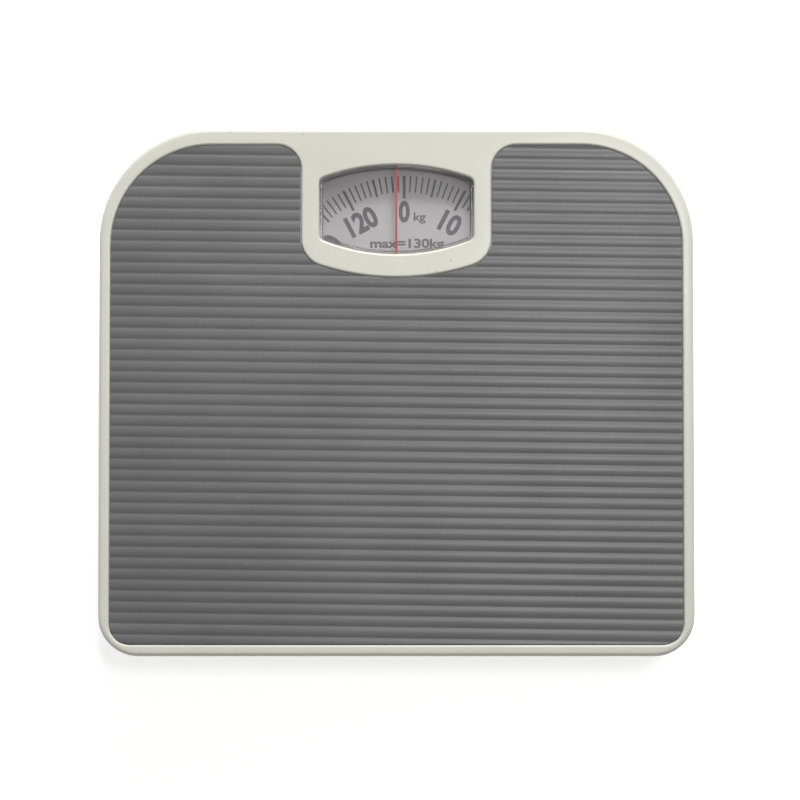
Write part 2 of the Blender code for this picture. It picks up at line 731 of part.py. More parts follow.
def make_spring_plate():
    tongue_y = CRANK_Y + CRANK_REACH * math.cos(HALF_SWING) - 1.7 * MM
    tongue = (PITCH_LINE - 2 * CRANK_SHEET, PITCH_LINE + 2 * CRANK_SHEET)
    near = SPRING_Y - PLATE_HALF_DEPTH
    far = SPRING_Y + PLATE_HALF_DEPTH
    outline = [
        (-PLATE_HALF_WIDTH, near), (tongue[0], near), (tongue[0], tongue_y), (tongue[1], tongue_y),
        (tongue[1], near), (PLATE_HALF_WIDTH, near), (PLATE_HALF_WIDTH, far), (-PLATE_HALF_WIDTH, far),
    ]
    stem = 3 * MM
    holes = [circle(0, SPRING_Y, stem + SEAT)]
    plate = extrusion("spring_plate", [outline] + holes, PLATE_TOP - PLATE_SHEET, PLATE_TOP)
    core = SPRING_RADIUS - SPRING_WIRE - SEAT
    low = PLATE_TOP + SEAT
    profile = [
        (0, low + PLUG_LENGTH), (core - 1 * MM, low + PLUG_LENGTH), (core, low + PLUG_LENGTH - 1 * MM),
        (core, low), (stem, low), (stem, PLATE_TOP - PLATE_SHEET), (0, PLATE_TOP - PLATE_SHEET),
    ]
    plug = turned("lower_spring_plug", profile, flat(0, SPRING_Y))
    axis = joint_axis("spring_plate_axis", (0, SPRING_Y, PLATE_TOP))
    carry(axis, finish(plate, "zinc_steel"), finish(plug, "zinc_steel"))


def coil(x, y, low, high, radius, turns, steps):
    """Points of a helix about a vertical axis."""
    count = round(turns * steps)
    points = []
    for i in range(count + 1):
        angle = 2 * math.pi * turns * i / count
        height = low + (high - low) * i / count
        points.append((x + radius * math.cos(angle), y + radius * math.sin(angle), height))
    return points


def make_main_spring():
    low = PLATE_TOP + SEAT + SPRING_WIRE
    high = BRIDGE_LOW - SEAT - SPRING_WIRE
    points = coil(0, SPRING_Y, low, high, SPRING_RADIUS, SPRING_TURNS, 12)
    finish(wire("main_spring", points, SPRING_WIRE), "spring_steel")


def make_bridge():
    pin_z = BRIDGE_LOW - BRIDGE_PIN_DROP
    near = BRIDGE_PIN_Y - 3 * MM
    far = WHEEL_Y + 4 * MM
    half = BRIDGE_HALF_WIDTH
    stem = 2 * MM
    holes = [circle(0, SPRING_Y, stem + SEAT)]
    plate = box_outline((-half, half), (near, far))
    bridge = extrusion("spring_bridge", [plate] + holes, BRIDGE_LOW, BRIDGE_LOW + BRIDGE_SHEET)
    flange = [
        (near, BRIDGE_LOW + BRIDGE_SHEET / 2), (near, pin_z - 2.5 * MM), (near + 6 * MM, pin_z - 2.5 * MM),
        (near + 8 * MM, pin_z), (far, BRIDGE_LOW - 2 * MM), (far, BRIDGE_LOW + BRIDGE_SHEET / 2),
    ]
    pin_hole = circle(BRIDGE_PIN_Y, pin_z, BRIDGE_PIN_RADIUS + SEAT, 12)
    for label, side in SIDES:
        limits = sorted((side * half, side * (half - BRACKET_SHEET)))
        join(bridge, extrusion("bridge_flange_" + label, [flange, pin_hole], *limits, along_x()))
    core = SPRING_RADIUS - SPRING_WIRE - SEAT
    top = BRIDGE_LOW + BRIDGE_SHEET + SEAT
    shoulder = BRIDGE_LOW - SEAT
    end = shoulder - PLUG_LENGTH + 1 * MM
    profile = [
        (0, top + 1.2 * MM), (stem + 1.5 * MM, top + 1.2 * MM), (stem + 1.5 * MM, top), (stem, top),
        (stem, shoulder), (core, shoulder), (core, end + 1 * MM), (core - 1 * MM, end), (0, end),
    ]
    plug = turned("upper_spring_plug", profile, flat(0, SPRING_Y))
    axis = joint_axis("spring_bridge_axis", (0, BRIDGE_PIN_Y, pin_z))
    carry(axis, finish(bridge, "zinc_steel"), finish(plug, "zinc_steel"))
    for label, side in SIDES:
        make_bridge_post(label, side, pin_z)


def make_bridge_post(label, side, pin_z):
    inner = BRIDGE_HALF_WIDTH + POST_GAP
    outer = inner + POST_SHEET
    y = (BRIDGE_PIN_Y - 5 * MM, BRIDGE_PIN_Y + 5 * MM)
    hole = circle(BRIDGE_PIN_Y, pin_z, BRIDGE_PIN_RADIUS + SEAT, 12)
    web = [box_outline(y, (BRACKET_LOW, pin_z + 3.5 * MM)), hole]
    post = extrusion("bridge_post_" + label, web, *sorted((side * inner, side * outer)), along_x())
    foot_x = sorted((side * (inner + POST_SHEET / 2), side * (inner + 10 * MM)))
    foot = block("post_foot_" + label, foot_x, y, (BRACKET_LOW, BRACKET_LOW + BRACKET_SHEET))
    clinch = rivet("post_rivet_" + label, side * POST_RIVET, BRIDGE_PIN_Y, BRACKET_LOW + BRACKET_SHEET / 2)
    join(post, foot, clinch)
    finish(post, "zinc_steel")
    tip = BRIDGE_HALF_WIDTH - BRACKET_SHEET - 0.6 * MM
    head = outer + SEAT
    profile = [
        (0, head + 1 * MM), (2.6 * MM, head + 1 * MM), (2.6 * MM, head), (BRIDGE_PIN_RADIUS, head),
        (BRIDGE_PIN_RADIUS, tip), (0, tip),
    ]
    turn = Matrix.Rotation(side * math.pi / 2, 4, "Y")
    frame = Matrix.Translation((0, BRIDGE_PIN_Y, pin_z)) @ turn
    finish(turned("bridge_pin_" + label, profile, frame, steps=12), "spring_steel")


def make_zero_wheel():
    low = BRACKET_LOW + 0.2 * MM
    high = low + WHEEL_THICKNESS
    knurl = []
    for i in range(2 * WHEEL_NOTCHES):
        angle = math.pi * i / WHEEL_NOTCHES
        radius = WHEEL_RADIUS - (0.7 * MM if i % 2 else 0)
        knurl.append((radius * math.cos(angle), WHEEL_Y + radius * math.sin(angle)))
    bore = circle(0, WHEEL_Y, SCREW_RADIUS + SEAT, 16)
    wheel = extrusion("zero_wheel", [knurl, bore], low, high)
    carry(joint_axis("zero_wheel_axis", (0, WHEEL_Y, low)), finish(wheel, "black_plastic"))
    screw = cylinders("lift_screw", [(0, WHEEL_Y, SCREW_RADIUS)], FLOOR + 1.5 * MM, BRIDGE_LOW - SEAT)
    carry(joint_axis("lift_screw_axis", (0, WHEEL_Y, FLOOR)), finish(screw, "brass"))
    make_wheel_cage(high + SEAT)


def make_wheel_cage(low):
    """A strap over the zero wheel, riveted to the floor on either side of it."""
    inner = WHEEL_RADIUS + 1 * MM
    outer = inner + BRACKET_SHEET
    foot = CAGE_RIVET + 3.5 * MM
    high = low + BRACKET_SHEET
    step = BRACKET_LOW + BRACKET_SHEET
    right = [(inner, BRACKET_LOW), (foot, BRACKET_LOW), (foot, step), (outer, step), (outer, high)]
    section = right + mirrored(right) + [(-inner, low), (inner, low)]
    half = 5 * MM
    cage = extrusion("wheel_cage", [section], -half, half, upright(0, WHEEL_Y, 0))
    cut(cage, cylinders("screw_hole", [(0, WHEEL_Y, SCREW_RADIUS + SEAT)], low - 1 * MM, high + 1 * MM))
    for label, side in SIDES:
        join(cage, rivet("cage_rivet_" + label, side * CAGE_RIVET, WHEEL_Y, BRACKET_LOW + BRACKET_SHEET / 2))
    finish(cage, "zinc_steel")


# ---------------------------------------------------------------------------------------------------------
# Crank and rack


def make_crank():
    reach = CRANK_REACH
    neck = 1.0 * MM
    slot = RACK_PIN + FORK_PLAY
    fork_end = CRANK_RISE / math.cos(HALF_SWING) + 1.3 * MM
    slot_end = CRANK_RISE - RACK_PIN - SEAT
    prong = slot + 1.8 * MM
    arm = 2.0 * MM
    hub = CRANK_HUB
    outline = (
        arc(reach, 0, CRANK_TIP, -150, 150, 10)
        + [(hub + 0.6 * MM, neck), (arm, hub + 0.6 * MM), (arm, slot_end - 4 * MM)]
        + [(prong, slot_end - 1 * MM), (prong, fork_end), (slot, fork_end), (slot, slot_end)]
        + [(-slot, slot_end), (-slot, fork_end), (-prong, fork_end), (-prong, slot_end - 1 * MM)]
        + [(-arm, slot_end - 4 * MM)]
        + arc(0, 0, hub, 125, 340, 10)
        + [(hub + 0.6 * MM, -neck)]
    )
    hole = circle(0, 0, CRANK_PIN + SEAT, 12)
    turn = Matrix.Rotation(HALF_SWING, 4, "X")
    frame = Matrix.Translation((0, CRANK_Y, CRANK_Z)) @ turn @ along_x()
    crank = extrusion("crank", [outline, hole], *CRANK_X, frame)
    carry(joint_axis("crank_axis", (PITCH_LINE, CRANK_Y, CRANK_Z)), finish(crank, "zinc_steel"))
    make_crank_bracket()


def make_crank_bracket():
    plate_x = (CRANK_RIVETS[0][0] - 3 * MM, CRANK_RIVETS[1][0] + 3 * MM)
    plate_y = (CRANK_Y - 9 * MM, CRANK_Y + 3 * MM)
    bracket = block("crank_bracket", plate_x, plate_y, (BRACKET_LOW, BRACKET_LOW + BRACKET_SHEET))
    leg_y = (CRANK_Y - 3.5 * MM, CRANK_Y + 3 * MM)
    leg_z = (BRACKET_LOW + BRACKET_SHEET / 2, CRANK_Z + 3 * MM)
    leg = [box_outline(leg_y, leg_z), circle(CRANK_Y, CRANK_Z, CRANK_PIN + SEAT, 12)]
    inner = (CRANK_X[0] - SEAT, CRANK_X[1] + SEAT)
    join(bracket, extrusion("crank_leg_left", leg, inner[0] - BRACKET_SHEET, inner[0], along_x()))
    join(bracket, extrusion("crank_leg_right", leg, inner[1], inner[1] + BRACKET_SHEET, along_x()))
    for label, (x, y) in zip("ab", CRANK_RIVETS):
        join(bracket, rivet("crank_rivet_" + label, x, y, BRACKET_LOW + BRACKET_SHEET / 2))
    finish(bracket, "zinc_steel")
    ends = (inner[0] - BRACKET_SHEET - 0.8 * MM, inner[1] + BRACKET_SHEET + 0.8 * MM)
    pin = cylinders("crank_pin", [(CRANK_Y, CRANK_Z, CRANK_PIN)], *ends, along_x(), sides=12)
    finish(pin, "spring_steel")


def rack_outline():
    """Plan of the rack: teeth towards the pinion, and a narrow tail that carries the crank's pin."""
    pitch = math.pi * MODULE
    tip = pitch / 4 - RACK_TOOTH_HEIGHT * math.tan(PRESSURE_ANGLE)
    root = pitch / 4 + RACK_ROOT * math.tan(PRESSURE_ANGLE)
    root_x = PITCH_LINE + RACK_ROOT
    tip_x = PITCH_LINE - RACK_TOOTH_HEIGHT
    back = PITCH_LINE + RACK_BACK
    tail_x = CRANK_X[1] + 0.4 * MM
    tail_end = RACK_PIN_Y + 2.3 * MM
    behind = math.ceil(RACK_TRAVEL / pitch) + 1
    ahead = 2
    near = DIAL_Y - (behind + 1) * pitch - 1 * MM
    tail_start = DIAL_Y + (ahead + 0.5) * pitch
    outline = [(back, near), (back, tail_end), (tail_x, tail_end), (tail_x, tail_start)]
    for k in range(ahead, -behind - 1, -1):
        middle = DIAL_Y + k * pitch
        outline += [(root_x, middle + root), (tip_x, middle + tip)]
        outline += [(tip_x, middle - tip), (root_x, middle - root)]
    outline.append((root_x, near))
    return outline, near


def make_rack():
    outline, near = rack_outline()
    z = (RACK_Z - RACK_THICKNESS / 2, RACK_Z + RACK_THICKNESS / 2)
    rack = extrusion("rack", [outline], *z)
    tail_x = CRANK_X[1] + 0.4 * MM
    back = PITCH_LINE + RACK_BACK
    peg_y = near + 1.5 * MM
    pin = cylinders("rack_pin", [(RACK_PIN_Y, RACK_Z, RACK_PIN)], CRANK_X[0] - 0.6 * MM, tail_x + 1 * MM,
                    along_x(), sides=12)
    peg_end = SPRING_POST[0] + 2.4 * MM
    peg = cylinders("rack_peg", [(peg_y, RACK_Z, PEG_RADIUS)], back - 1 * MM, peg_end, along_x(), sides=12)
    join(rack, pin, peg)
    carry(joint_axis("rack_axis", (PITCH_LINE, DIAL_Y, RACK_Z)), finish(rack, "brass"))
    make_return_spring(peg_y)
    make_rack_guide(peg_y, back, z)


def make_return_spring(peg_y):
    """An extension spring along Y, hooked round the rack's peg and the post."""
    wire_radius = 0.35 * MM
    x = SPRING_POST[0]
    peg_loop = PEG_RADIUS + SEAT + wire_radius
    post_loop = POST_RADIUS + SEAT + wire_radius
    points = [(x, y, z) for y, z in arc(peg_y, RACK_Z, peg_loop, 60, 330, 8)]
    radius = 1.7 * MM
    start = peg_y + peg_loop + 1.2 * MM
    end = SPRING_POST[1] - post_loop - 1.2 * MM
    for coil_x, coil_z, coil_y in coil(x, RACK_Z, start, end, radius, 10, 8):
        points.append((coil_x, coil_y, coil_z))
    points += [(px, py, RACK_Z) for px, py in arc(x, SPRING_POST[1], post_loop, -60, 210, 8)]
    finish(wire("rack_return_spring", points, wire_radius), "spring_steel")


def make_rack_guide(peg_y, back, z):
    """A channel round the rack's back, on top of the dial bracket."""
    low = BRACKET_TOP + SEAT
    lip = PITCH_LINE + 0.8 * MM
    inner = back + SEAT
    outer = inner + 2 * MM
    section = [
        (lip, low), (outer, low), (outer, z[1] + SEAT + 0.7 * MM), (back - 1.5 * MM, z[1] + SEAT + 0.7 * MM),
        (back - 1.5 * MM, z[1] + SEAT), (inner, z[1] + SEAT), (inner, z[0] - SEAT), (lip, z[0] - SEAT),
    ]
    near = peg_y + RACK_TRAVEL + PEG_RADIUS + 2 * SEAT
    far = DIAL_Y + 6.5 * MM
    guide = extrusion("rack_guide", [section], -far, -near, upright())
    finish(guide, "black_plastic")


def make_spring_post():
    head = FOOT_HEIGHT - SEAT
    top = RACK_Z + 2.5 * MM
    flange = BRACKET_LOW + BRACKET_SHEET
    profile = [
        (0, top), (POST_RADIUS, top), (POST_RADIUS, flange), (RIVET_HEAD, flange), (RIVET_HEAD, BRACKET_LOW),
        (RIVET_RADIUS, BRACKET_LOW), (RIVET_RADIUS, head), (RIVET_HEAD, head),
        (RIVET_HEAD, head - RIVET_HEAD_THICKNESS), (0, head - RIVET_HEAD_THICKNESS),
    ]
    finish(turned("spring_post", profile, flat(*SPRING_POST), steps=12), "zinc_steel")


# ---------------------------------------------------------------------------------------------------------
# Dial, its shaft and its bearings


def make_dial_bracket():
    """A bridge of bent sheet over the shaft's foot, screwed to the floor, with the upper bearing in it."""
    sheet = BRACKET_SHEET
    leg = 15.5 * MM
    foot = 26 * MM
    low = BRACKET_LOW
    right = [
        (leg - sheet, low), (foot, low), (foot, low + sheet), (leg, low + sheet), (leg, BRACKET_TOP),
    ]
    under = BRACKET_TOP - sheet
    section = right + mirrored(right) + [(-leg + sheet, under), (leg - sheet, under)]
    half = 6.5 * MM
    bracket = extrusion("dial_bracket", [section], -half, half, upright(DIAL_X, DIAL_Y, 0))
    hole = (DIAL_X, DIAL_Y, BUSH_RADIUS + SEAT)
    cut(bracket, cylinders("bush_hole", [hole], BRACKET_TOP - 3 * MM, BRACKET_TOP + 1 * MM))
    holes = [(x, DIAL_Y, RIVET_RADIUS) for x in DIAL_SCREWS]
    cut(bracket, cylinders("dial_screw_holes", holes, low - 1 * MM, low + sheet + 1 * MM, sides=12))
    finish(bracket, "zinc_steel")
    make_dial_bush()
    shank = RIVET_RADIUS - SEAT
    head = FOOT_HEIGHT - SEAT
    profile = [
        (0, low + sheet + 1.7 * MM), (shank, low + sheet + 1.7 * MM), (shank, head), (RIVET_HEAD, head),
        (RIVET_HEAD, head - 1 * MM), (0, head - 1 * MM),
    ]
    for (label, _), x in zip(SIDES, DIAL_SCREWS):
        finish(turned("dial_bracket_screw_" + label, profile, flat(x, DIAL_Y), steps=12), "zinc_steel")


def make_dial_bush():
    bore = SHAFT_RADIUS + SEAT
    shoulder = BRACKET_TOP - BRACKET_SHEET - SEAT
    flange = BUSH_RADIUS + 1.3 * MM
    profile = [
        (bore, BRACKET_TOP), (BUSH_RADIUS, BRACKET_TOP), (BUSH_RADIUS, shoulder), (flange, shoulder),
        (flange, shoulder - 0.9 * MM), (bore, shoulder - 0.9 * MM),
    ]
    finish(turned("dial_bush", profile, flat(DIAL_X, DIAL_Y), bored=True), "brass")


def make_pivot_cup():
    bore = SHAFT_RADIUS + SEAT
    top = BRACKET_LOW + 3.7 * MM
    bottom = BRACKET_LOW + 1.4 * MM
    head = FOOT_HEIGHT - SEAT
    profile = [
        (0, bottom), (bore, bottom), (bore, top), (4 * MM, top), (5 * MM, top - 1 * MM), (5 * MM, BRACKET_LOW),
        (RIVET_RADIUS, BRACKET_LOW), (RIVET_RADIUS, head), (RIVET_HEAD, head),
        (RIVET_HEAD, head - RIVET_HEAD_THICKNESS), (0, head - RIVET_HEAD_THICKNESS),
    ]
    finish(turned("pivot_cup", profile, flat(DIAL_X, DIAL_Y)), "brass")


def pinion_outline():
    """Involute teeth, with a space facing the rack."""
    base = PITCH_RADIUS * math.cos(PRESSURE_ANGLE)
    root = PITCH_RADIUS - RACK_TOOTH_HEIGHT - 0.15 * MM
    tip = PITCH_RADIUS + TOOTH_HEIGHT
    half_tooth = (math.pi * MODULE / 2 - BACKLASH) / 2 / PITCH_RADIUS
    at_pitch = math.tan(PRESSURE_ANGLE) - PRESSURE_ANGLE
    radii = [base, (base + tip) / 2, tip]
    flank = []
    for radius in radii:
        angle = math.acos(min(1, base / radius))
        flank.append((radius, half_tooth + at_pitch - math.tan(angle) + angle))
    flank.insert(0, (root, flank[0][1]))
    outline = []
    for k in range(PINION_TEETH):
        middle = 2 * math.pi * (k + 0.5) / PINION_TEETH
        for radius, turn in flank:
            outline.append((radius * math.cos(middle - turn), radius * math.sin(middle - turn)))
        for radius, turn in reversed(flank):
            outline.append((radius * math.cos(middle + turn), radius * math.sin(middle + turn)))
    return outline


def make_dial():
    place = flat(DIAL_X, DIAL_Y)
    low = BRACKET_LOW + 1.4 * MM + SEAT
    hub_top = DIAL_LOW - SEAT
    hub_low = hub_top - 0.9 * MM
    boss = 2.7 * MM
    boss_top = DIAL_TOP + 1.5 * MM
    shaft = cylinders("pinion_shaft", [(0, 0, SHAFT_RADIUS)], low, boss_top + 0.5 * MM, place)
    join(shaft, extrusion("pinion", [pinion_outline()], RACK_Z - 3 * MM, hub_low - 0.5 * MM, place))
    rings = [circle(0, 0, DIAL_RADIUS, 64), circle(0, 0, boss + SEAT)]
    disc = extrusion("dial_disc", rings, DIAL_LOW, DIAL_TOP, place)
    bore = SHAFT_RADIUS + SEAT
    profile = [
        (bore, boss_top), (boss, boss_top), (boss, hub_top), (9 * MM, hub_top), (9 * MM, hub_low), (bore, hub_low),
    ]
    hub = turned("dial_hub", profile, place, bored=True)
    nut_low = DIAL_TOP + SEAT
    profile = [
        (boss + SEAT, boss_top - 0.2 * MM), (5.5 * MM, boss_top - 0.2 * MM), (6 * MM, boss_top - 0.6 * MM),
        (6 * MM, nut_low), (boss + SEAT, nut_low),
    ]
    nut = turned("dial_clamp_nut", profile, place, bored=True)
    axis = joint_axis("dial_axis", (DIAL_X, DIAL_Y, DIAL_LOW))
    carry(axis, finish(shaft, "brass"), finish(disc, "white_card"), finish(hub, "black_plastic"),
          finish(nut, "black_plastic"))


# ---------------------------------------------------------------------------------------------------------
# Platform: cover, mat, window and keeper springs


def make_cover():
    cover = pressed_pan("top_cover", plan_outline(0), HEIGHT, RIM - SKIRT_OVERLAP)
    join(cover, extrusion("recess_pan", [mat_outline(SEAT + SHEET)], RECESS_UNDERSIDE, HEIGHT - SHEET / 2))
    join(cover, extrusion("window_collar", [window_outline(SHEET)], COLLAR_LOW, HEIGHT - SHEET / 2))
    for label, side in SIDES:
        x = side * (WIDTH / 2 - KEEPER_INSET)
        low = RECESS_UNDERSIDE - 6 * MM
        join(cover, keeper_lug("cover_lug_" + label, x, low, RECESS_UNDERSIDE + SHEET / 2, low + 2 * MM))
    cut(cover, extrusion("mat_recess", [mat_outline(SEAT)], RECESS_FLOOR, HEIGHT + 1 * MM))
    cut(cover, extrusion("window_hole", [window_outline(0)], COLLAR_LOW - 1 * MM, HEIGHT + 1 * MM))
    return finish(cover, "cream_paint")


def make_mat():
    """A vinyl mat with flat-topped ribs that run across the scale."""
    low = HEIGHT - MAT_THICKNESS
    valley = HEIGHT - RIB_HEIGHT
    count = math.ceil(DEPTH / RIB_PITCH / 2)
    end = (count + 1) * RIB_PITCH
    section = [(-end, low), (end, low)]
    for k in range(count, -count - 1, -1):
        middle = k * RIB_PITCH
        section += [
            (middle + RIB_FOOT, valley), (middle + RIB_CREST, HEIGHT), (middle - RIB_CREST, HEIGHT),
            (middle - RIB_FOOT, valley),
        ]
    mat = extrusion("tread_mat", [section], -WIDTH, WIDTH, Matrix.Rotation(RIB_SKEW, 4, "Z") @ along_x())
    keep_inside(mat, extrusion("mat_shape", [mat_outline(0)], low - 1 * MM, HEIGHT + 1 * MM))
    return finish(mat, "grey_vinyl")


def make_window():
    flange_top = COLLAR_LOW - SEAT
    flange_low = flange_top - LENS_SHEET
    lens = extrusion("window_lens", [window_outline(LENS_FLANGE)], flange_low, flange_top)
    join(lens, extrusion("lens_plug", [window_outline(-SEAT)], flange_top - LENS_SHEET / 2, HEIGHT - 2 * SEAT))
    finish(lens, "clear_plastic")
    shelf = flange_low - SEAT
    outlines = [window_outline(RETAINER_RIM), window_outline(0.5 * MM)]
    retainer = extrusion("lens_retainer", outlines, shelf - RETAINER_SHEET, HEIGHT - SHEET - SEAT)
    cut(retainer, extrusion("retainer_step", [window_outline(LENS_FLANGE + SEAT)], shelf, HEIGHT))
    finish(retainer, "black_plastic")
    return lens, retainer


def make_keeper_springs():
    """Two extension springs that pull the cover down on the levers."""
    radius = 2.3 * MM
    low_hole = FLOOR + 4 * MM
    high_hole = RECESS_UNDERSIDE - 4 * MM
    for label, side in SIDES:
        x = side * (WIDTH / 2 - KEEPER_INSET)
        low_hook = [(px, KEEPER_Y, pz) for px, pz in arc(x, low_hole + radius, radius, 150, 390, 8)]
        high_hook = [(px, KEEPER_Y, pz) for px, pz in arc(x, high_hole - radius, radius, -30, 210, 8)]
        middle = coil(x, KEEPER_Y, low_hole + 2 * radius + 1 * MM, high_hole - 2 * radius - 1 * MM,
                      KEEPER_RADIUS, KEEPER_TURNS, 8)
        finish(wire("keeper_spring_" + label, low_hook + middle + high_hook, KEEPER_WIRE), "spring_steel")


def make_platform():
    platform = joint_axis("platform_axis", (0, 0, HEIGHT))
    carry(platform, make_cover(), make_mat(), *make_window(), *make_load_brackets())


# ---------------------------------------------------------------------------------------------------------


def make_scale():
    global parts, cutters
    clear_scene()
    parts = new_collection("bathroom_scale")
    cutters = new_collection("cutters")
    make_finishes()
    make_base_pan()
    make_feet()
    make_fulcrum_brackets()
    make_levers()
    make_spring_plate()
    make_main_spring()
    make_bridge()
    make_zero_wheel()
    make_crank()
    make_rack()
    make_spring_post()
    make_dial_bracket()
    make_pivot_cup()
    make_dial()
    make_platform()
    make_keeper_springs()


make_scale()
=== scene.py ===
"""The looks of a mechanical bathroom scale: a pressed cover, a ribbed mat, a window over a turning dial.

Every piece is drawn over the scale's frame, rides on one of its bodies and keeps to its sizes.
"""

import math

import bmesh
import bpy
from mathutils import Matrix, Vector


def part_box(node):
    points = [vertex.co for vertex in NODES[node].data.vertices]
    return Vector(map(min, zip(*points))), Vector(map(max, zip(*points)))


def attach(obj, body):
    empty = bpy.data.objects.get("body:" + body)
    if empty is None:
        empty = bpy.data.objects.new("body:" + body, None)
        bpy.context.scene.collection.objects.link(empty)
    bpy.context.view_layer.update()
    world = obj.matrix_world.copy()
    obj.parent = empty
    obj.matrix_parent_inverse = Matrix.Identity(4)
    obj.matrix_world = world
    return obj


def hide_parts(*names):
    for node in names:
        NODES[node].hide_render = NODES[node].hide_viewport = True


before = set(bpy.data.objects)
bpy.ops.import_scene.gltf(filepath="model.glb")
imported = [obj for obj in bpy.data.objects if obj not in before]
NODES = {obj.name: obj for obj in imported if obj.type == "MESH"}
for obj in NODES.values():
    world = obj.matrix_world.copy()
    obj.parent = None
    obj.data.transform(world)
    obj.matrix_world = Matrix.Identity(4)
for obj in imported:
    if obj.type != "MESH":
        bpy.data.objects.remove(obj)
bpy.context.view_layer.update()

bl_info = {
    "name": "Bathroom Scale",
    "version": (1, 0, 0),
    "blender": (4, 5, 0),
    "location": "View3D > Sidebar > Bathroom Scale",
    "description": "Builds the cover, mat, window, dial and small parts of a mechanical bathroom scale",
    "category": "Add Mesh",
}

MM = 0.001
COVER_LOW, COVER_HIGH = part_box("top_cover")
MAT_LOW, MAT_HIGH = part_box("tread_mat")
LENS_LOW, LENS_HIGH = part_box("window_lens")
DIAL_LOW, DIAL_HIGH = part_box("dial_disc")
DIAL_MIDDLE = (DIAL_LOW + DIAL_HIGH) / 2
FAR = COVER_HIGH.y
TOP = COVER_HIGH.z
CLOSE = 1e-5  # points nearer than this are taken as one

# The tabs that the keeper springs hook into
LUG_INSET = 20.5 * MM
LUG_Y = -20 * MM
LUG_THICKNESS = 1.5 * MM
LUG_WIDTH = 8 * MM
LUG_DROP = 6 * MM
LUG_CORNER = 2.5 * MM
LUG_HOLE_RADIUS = 1.2 * MM
LUG_HOLE_RISE = 2 * MM
LUG_SINK = 0.1 * MM

MAT_FLOOR_GAP = 0.3 * MM
LENS_GAP = 0.3 * MM
LENS_THICKNESS = 1.25 * MM
FLANGE_RISE = 1.3 * MM
FLANGE_REACH = 2.2 * MM

CAPACITY_KILOS = 130
DIAL_STEPS = 160
DIAL_HOLE_RADIUS = 3 * MM
PRINT_LIFT = 0.025 * MM
# Width, length and thickness of the marks for each, every fifth and every tenth kilo
TICKS = (
    ("dial_ticks", 0.72 * MM, 7.4 * MM, 0.03 * MM, 1),
    ("five_ticks", 1.0 * MM, 8.2 * MM, 0.035 * MM, 5),
    ("ten_ticks", 1.25 * MM, 10.2 * MM, 0.04 * MM, 10),
)
NUMBER_WIDTHS = {1: 5 * MM, 2: 9.2 * MM, 3: 14.2 * MM}  # by how many digits the number has

FLOOR_SIZE = 6
FLOOR_GLOW = 0.66
WORLD_LIGHT = 0.24
# Place, size and watts
LAMPS = (
    ("far_lamp", (0.2, 2.08, 1.38), 0.4, 55),
    ("right_lamp", (0.22, 0.2, 1.25), 0.2, 3),
)
CAMERA_PLACE = (1.6 * MM, -22.1 * MM, TOP + 0.75)
CAMERA_TARGET = (1.6 * MM, -3.8 * MM, TOP)
CAMERA_LENS = 76


# ---------------------------------------------------------------------------------------------------------
# Sizes and colours


def length(name, description, default):
    return bpy.props.FloatProperty(name=name, description=description, default=default, min=0, unit="LENGTH",
                                   precision=5)


def colour(name, description, default):
    return bpy.props.FloatVectorProperty(name=name, description=description, default=default, min=0, max=1,
                                         size=3, subtype="COLOR")


class ScaleSizes(bpy.types.PropertyGroup):
    """Sizes of the pieces that the looks add."""

    sheet: length("Sheet", "Thickness of the pressed sheet", 1.0 * MM)
    far_corner: length("Far corner", "Radius of the platform's two far corners", 50.5 * MM)
    near_corner: length("Near corner", "Radius of the platform's two near corners", 18 * MM)
    edge_bend: length("Edge bend", "Radius of the bend between the cover's top and its skirt", 2.2 * MM)
    rim_bend: length("Rim bend", "Radius of the bend round the mat's recess and the window", 1.1 * MM)
    mat_gap: length("Mat gap", "Gap between the mat and its recess", 0.3 * MM)
    mat_far_corner: length("Mat far corner", "Radius of the mat's far corners", 44.8 * MM)
    mat_near_corner: length("Mat near corner", "Radius of the mat's near corners", 9 * MM)
    rib_pitch: length("Rib pitch", "Distance from one rib to the next", 4.86 * MM)
    rib_height: length("Rib height", "Height of a rib above its groove", 0.42 * MM)
    rib_skew: bpy.props.FloatProperty(name="Rib skew", description="Turn of the ribs from square",
                                      default=math.radians(0.8), subtype="ANGLE")
    window_half: length("Window half width", "Half the window's width", 34.4 * MM)
    window_length: length("Window length", "Window's far edge to its near edge", 39.9 * MM)
    window_inset: length("Window inset", "Platform's far edge to the window", 16.4 * MM)
    window_far_arc: length("Window far arc", "Radius of the window's far edge", 97.5 * MM)
    window_near_arc: length("Window near arc", "Radius of the window's near edge", 89 * MM)
    window_corner: length("Window corner", "Radius of the window's corners", 3 * MM)
    collar: length("Collar", "Depth of the window's turned-down edge", 3.5 * MM)
    notch_side: length("Notch side", "Window to the mat at its sides", 8.3 * MM)
    notch_near: length("Notch near", "Window to the mat at its near edge", 10.7 * MM)
    notch_arc: length("Notch arc", "Radius of the notch's near edge", 110 * MM)
    notch_fillet: length("Notch fillet", "Radius of the notch's inner corners", 12.5 * MM)
    notch_mouth: length("Notch mouth", "Radius of the notch's outer corners", 10.8 * MM)
    index_width: length("Index width", "Width of the red index line", 0.85 * MM)
    tick_outer: length("Tick ring", "Radius of the ticks' outer ends", 59.2 * MM)
    number_low: length("Number foot", "Radius at the foot of the numbers", 38.6 * MM)
    number_height: length("Number height", "Height of the numbers", 9.4 * MM)
    capacity_low: length("Capacity foot", "Radius at the foot of the capacity line", 26.7 * MM)


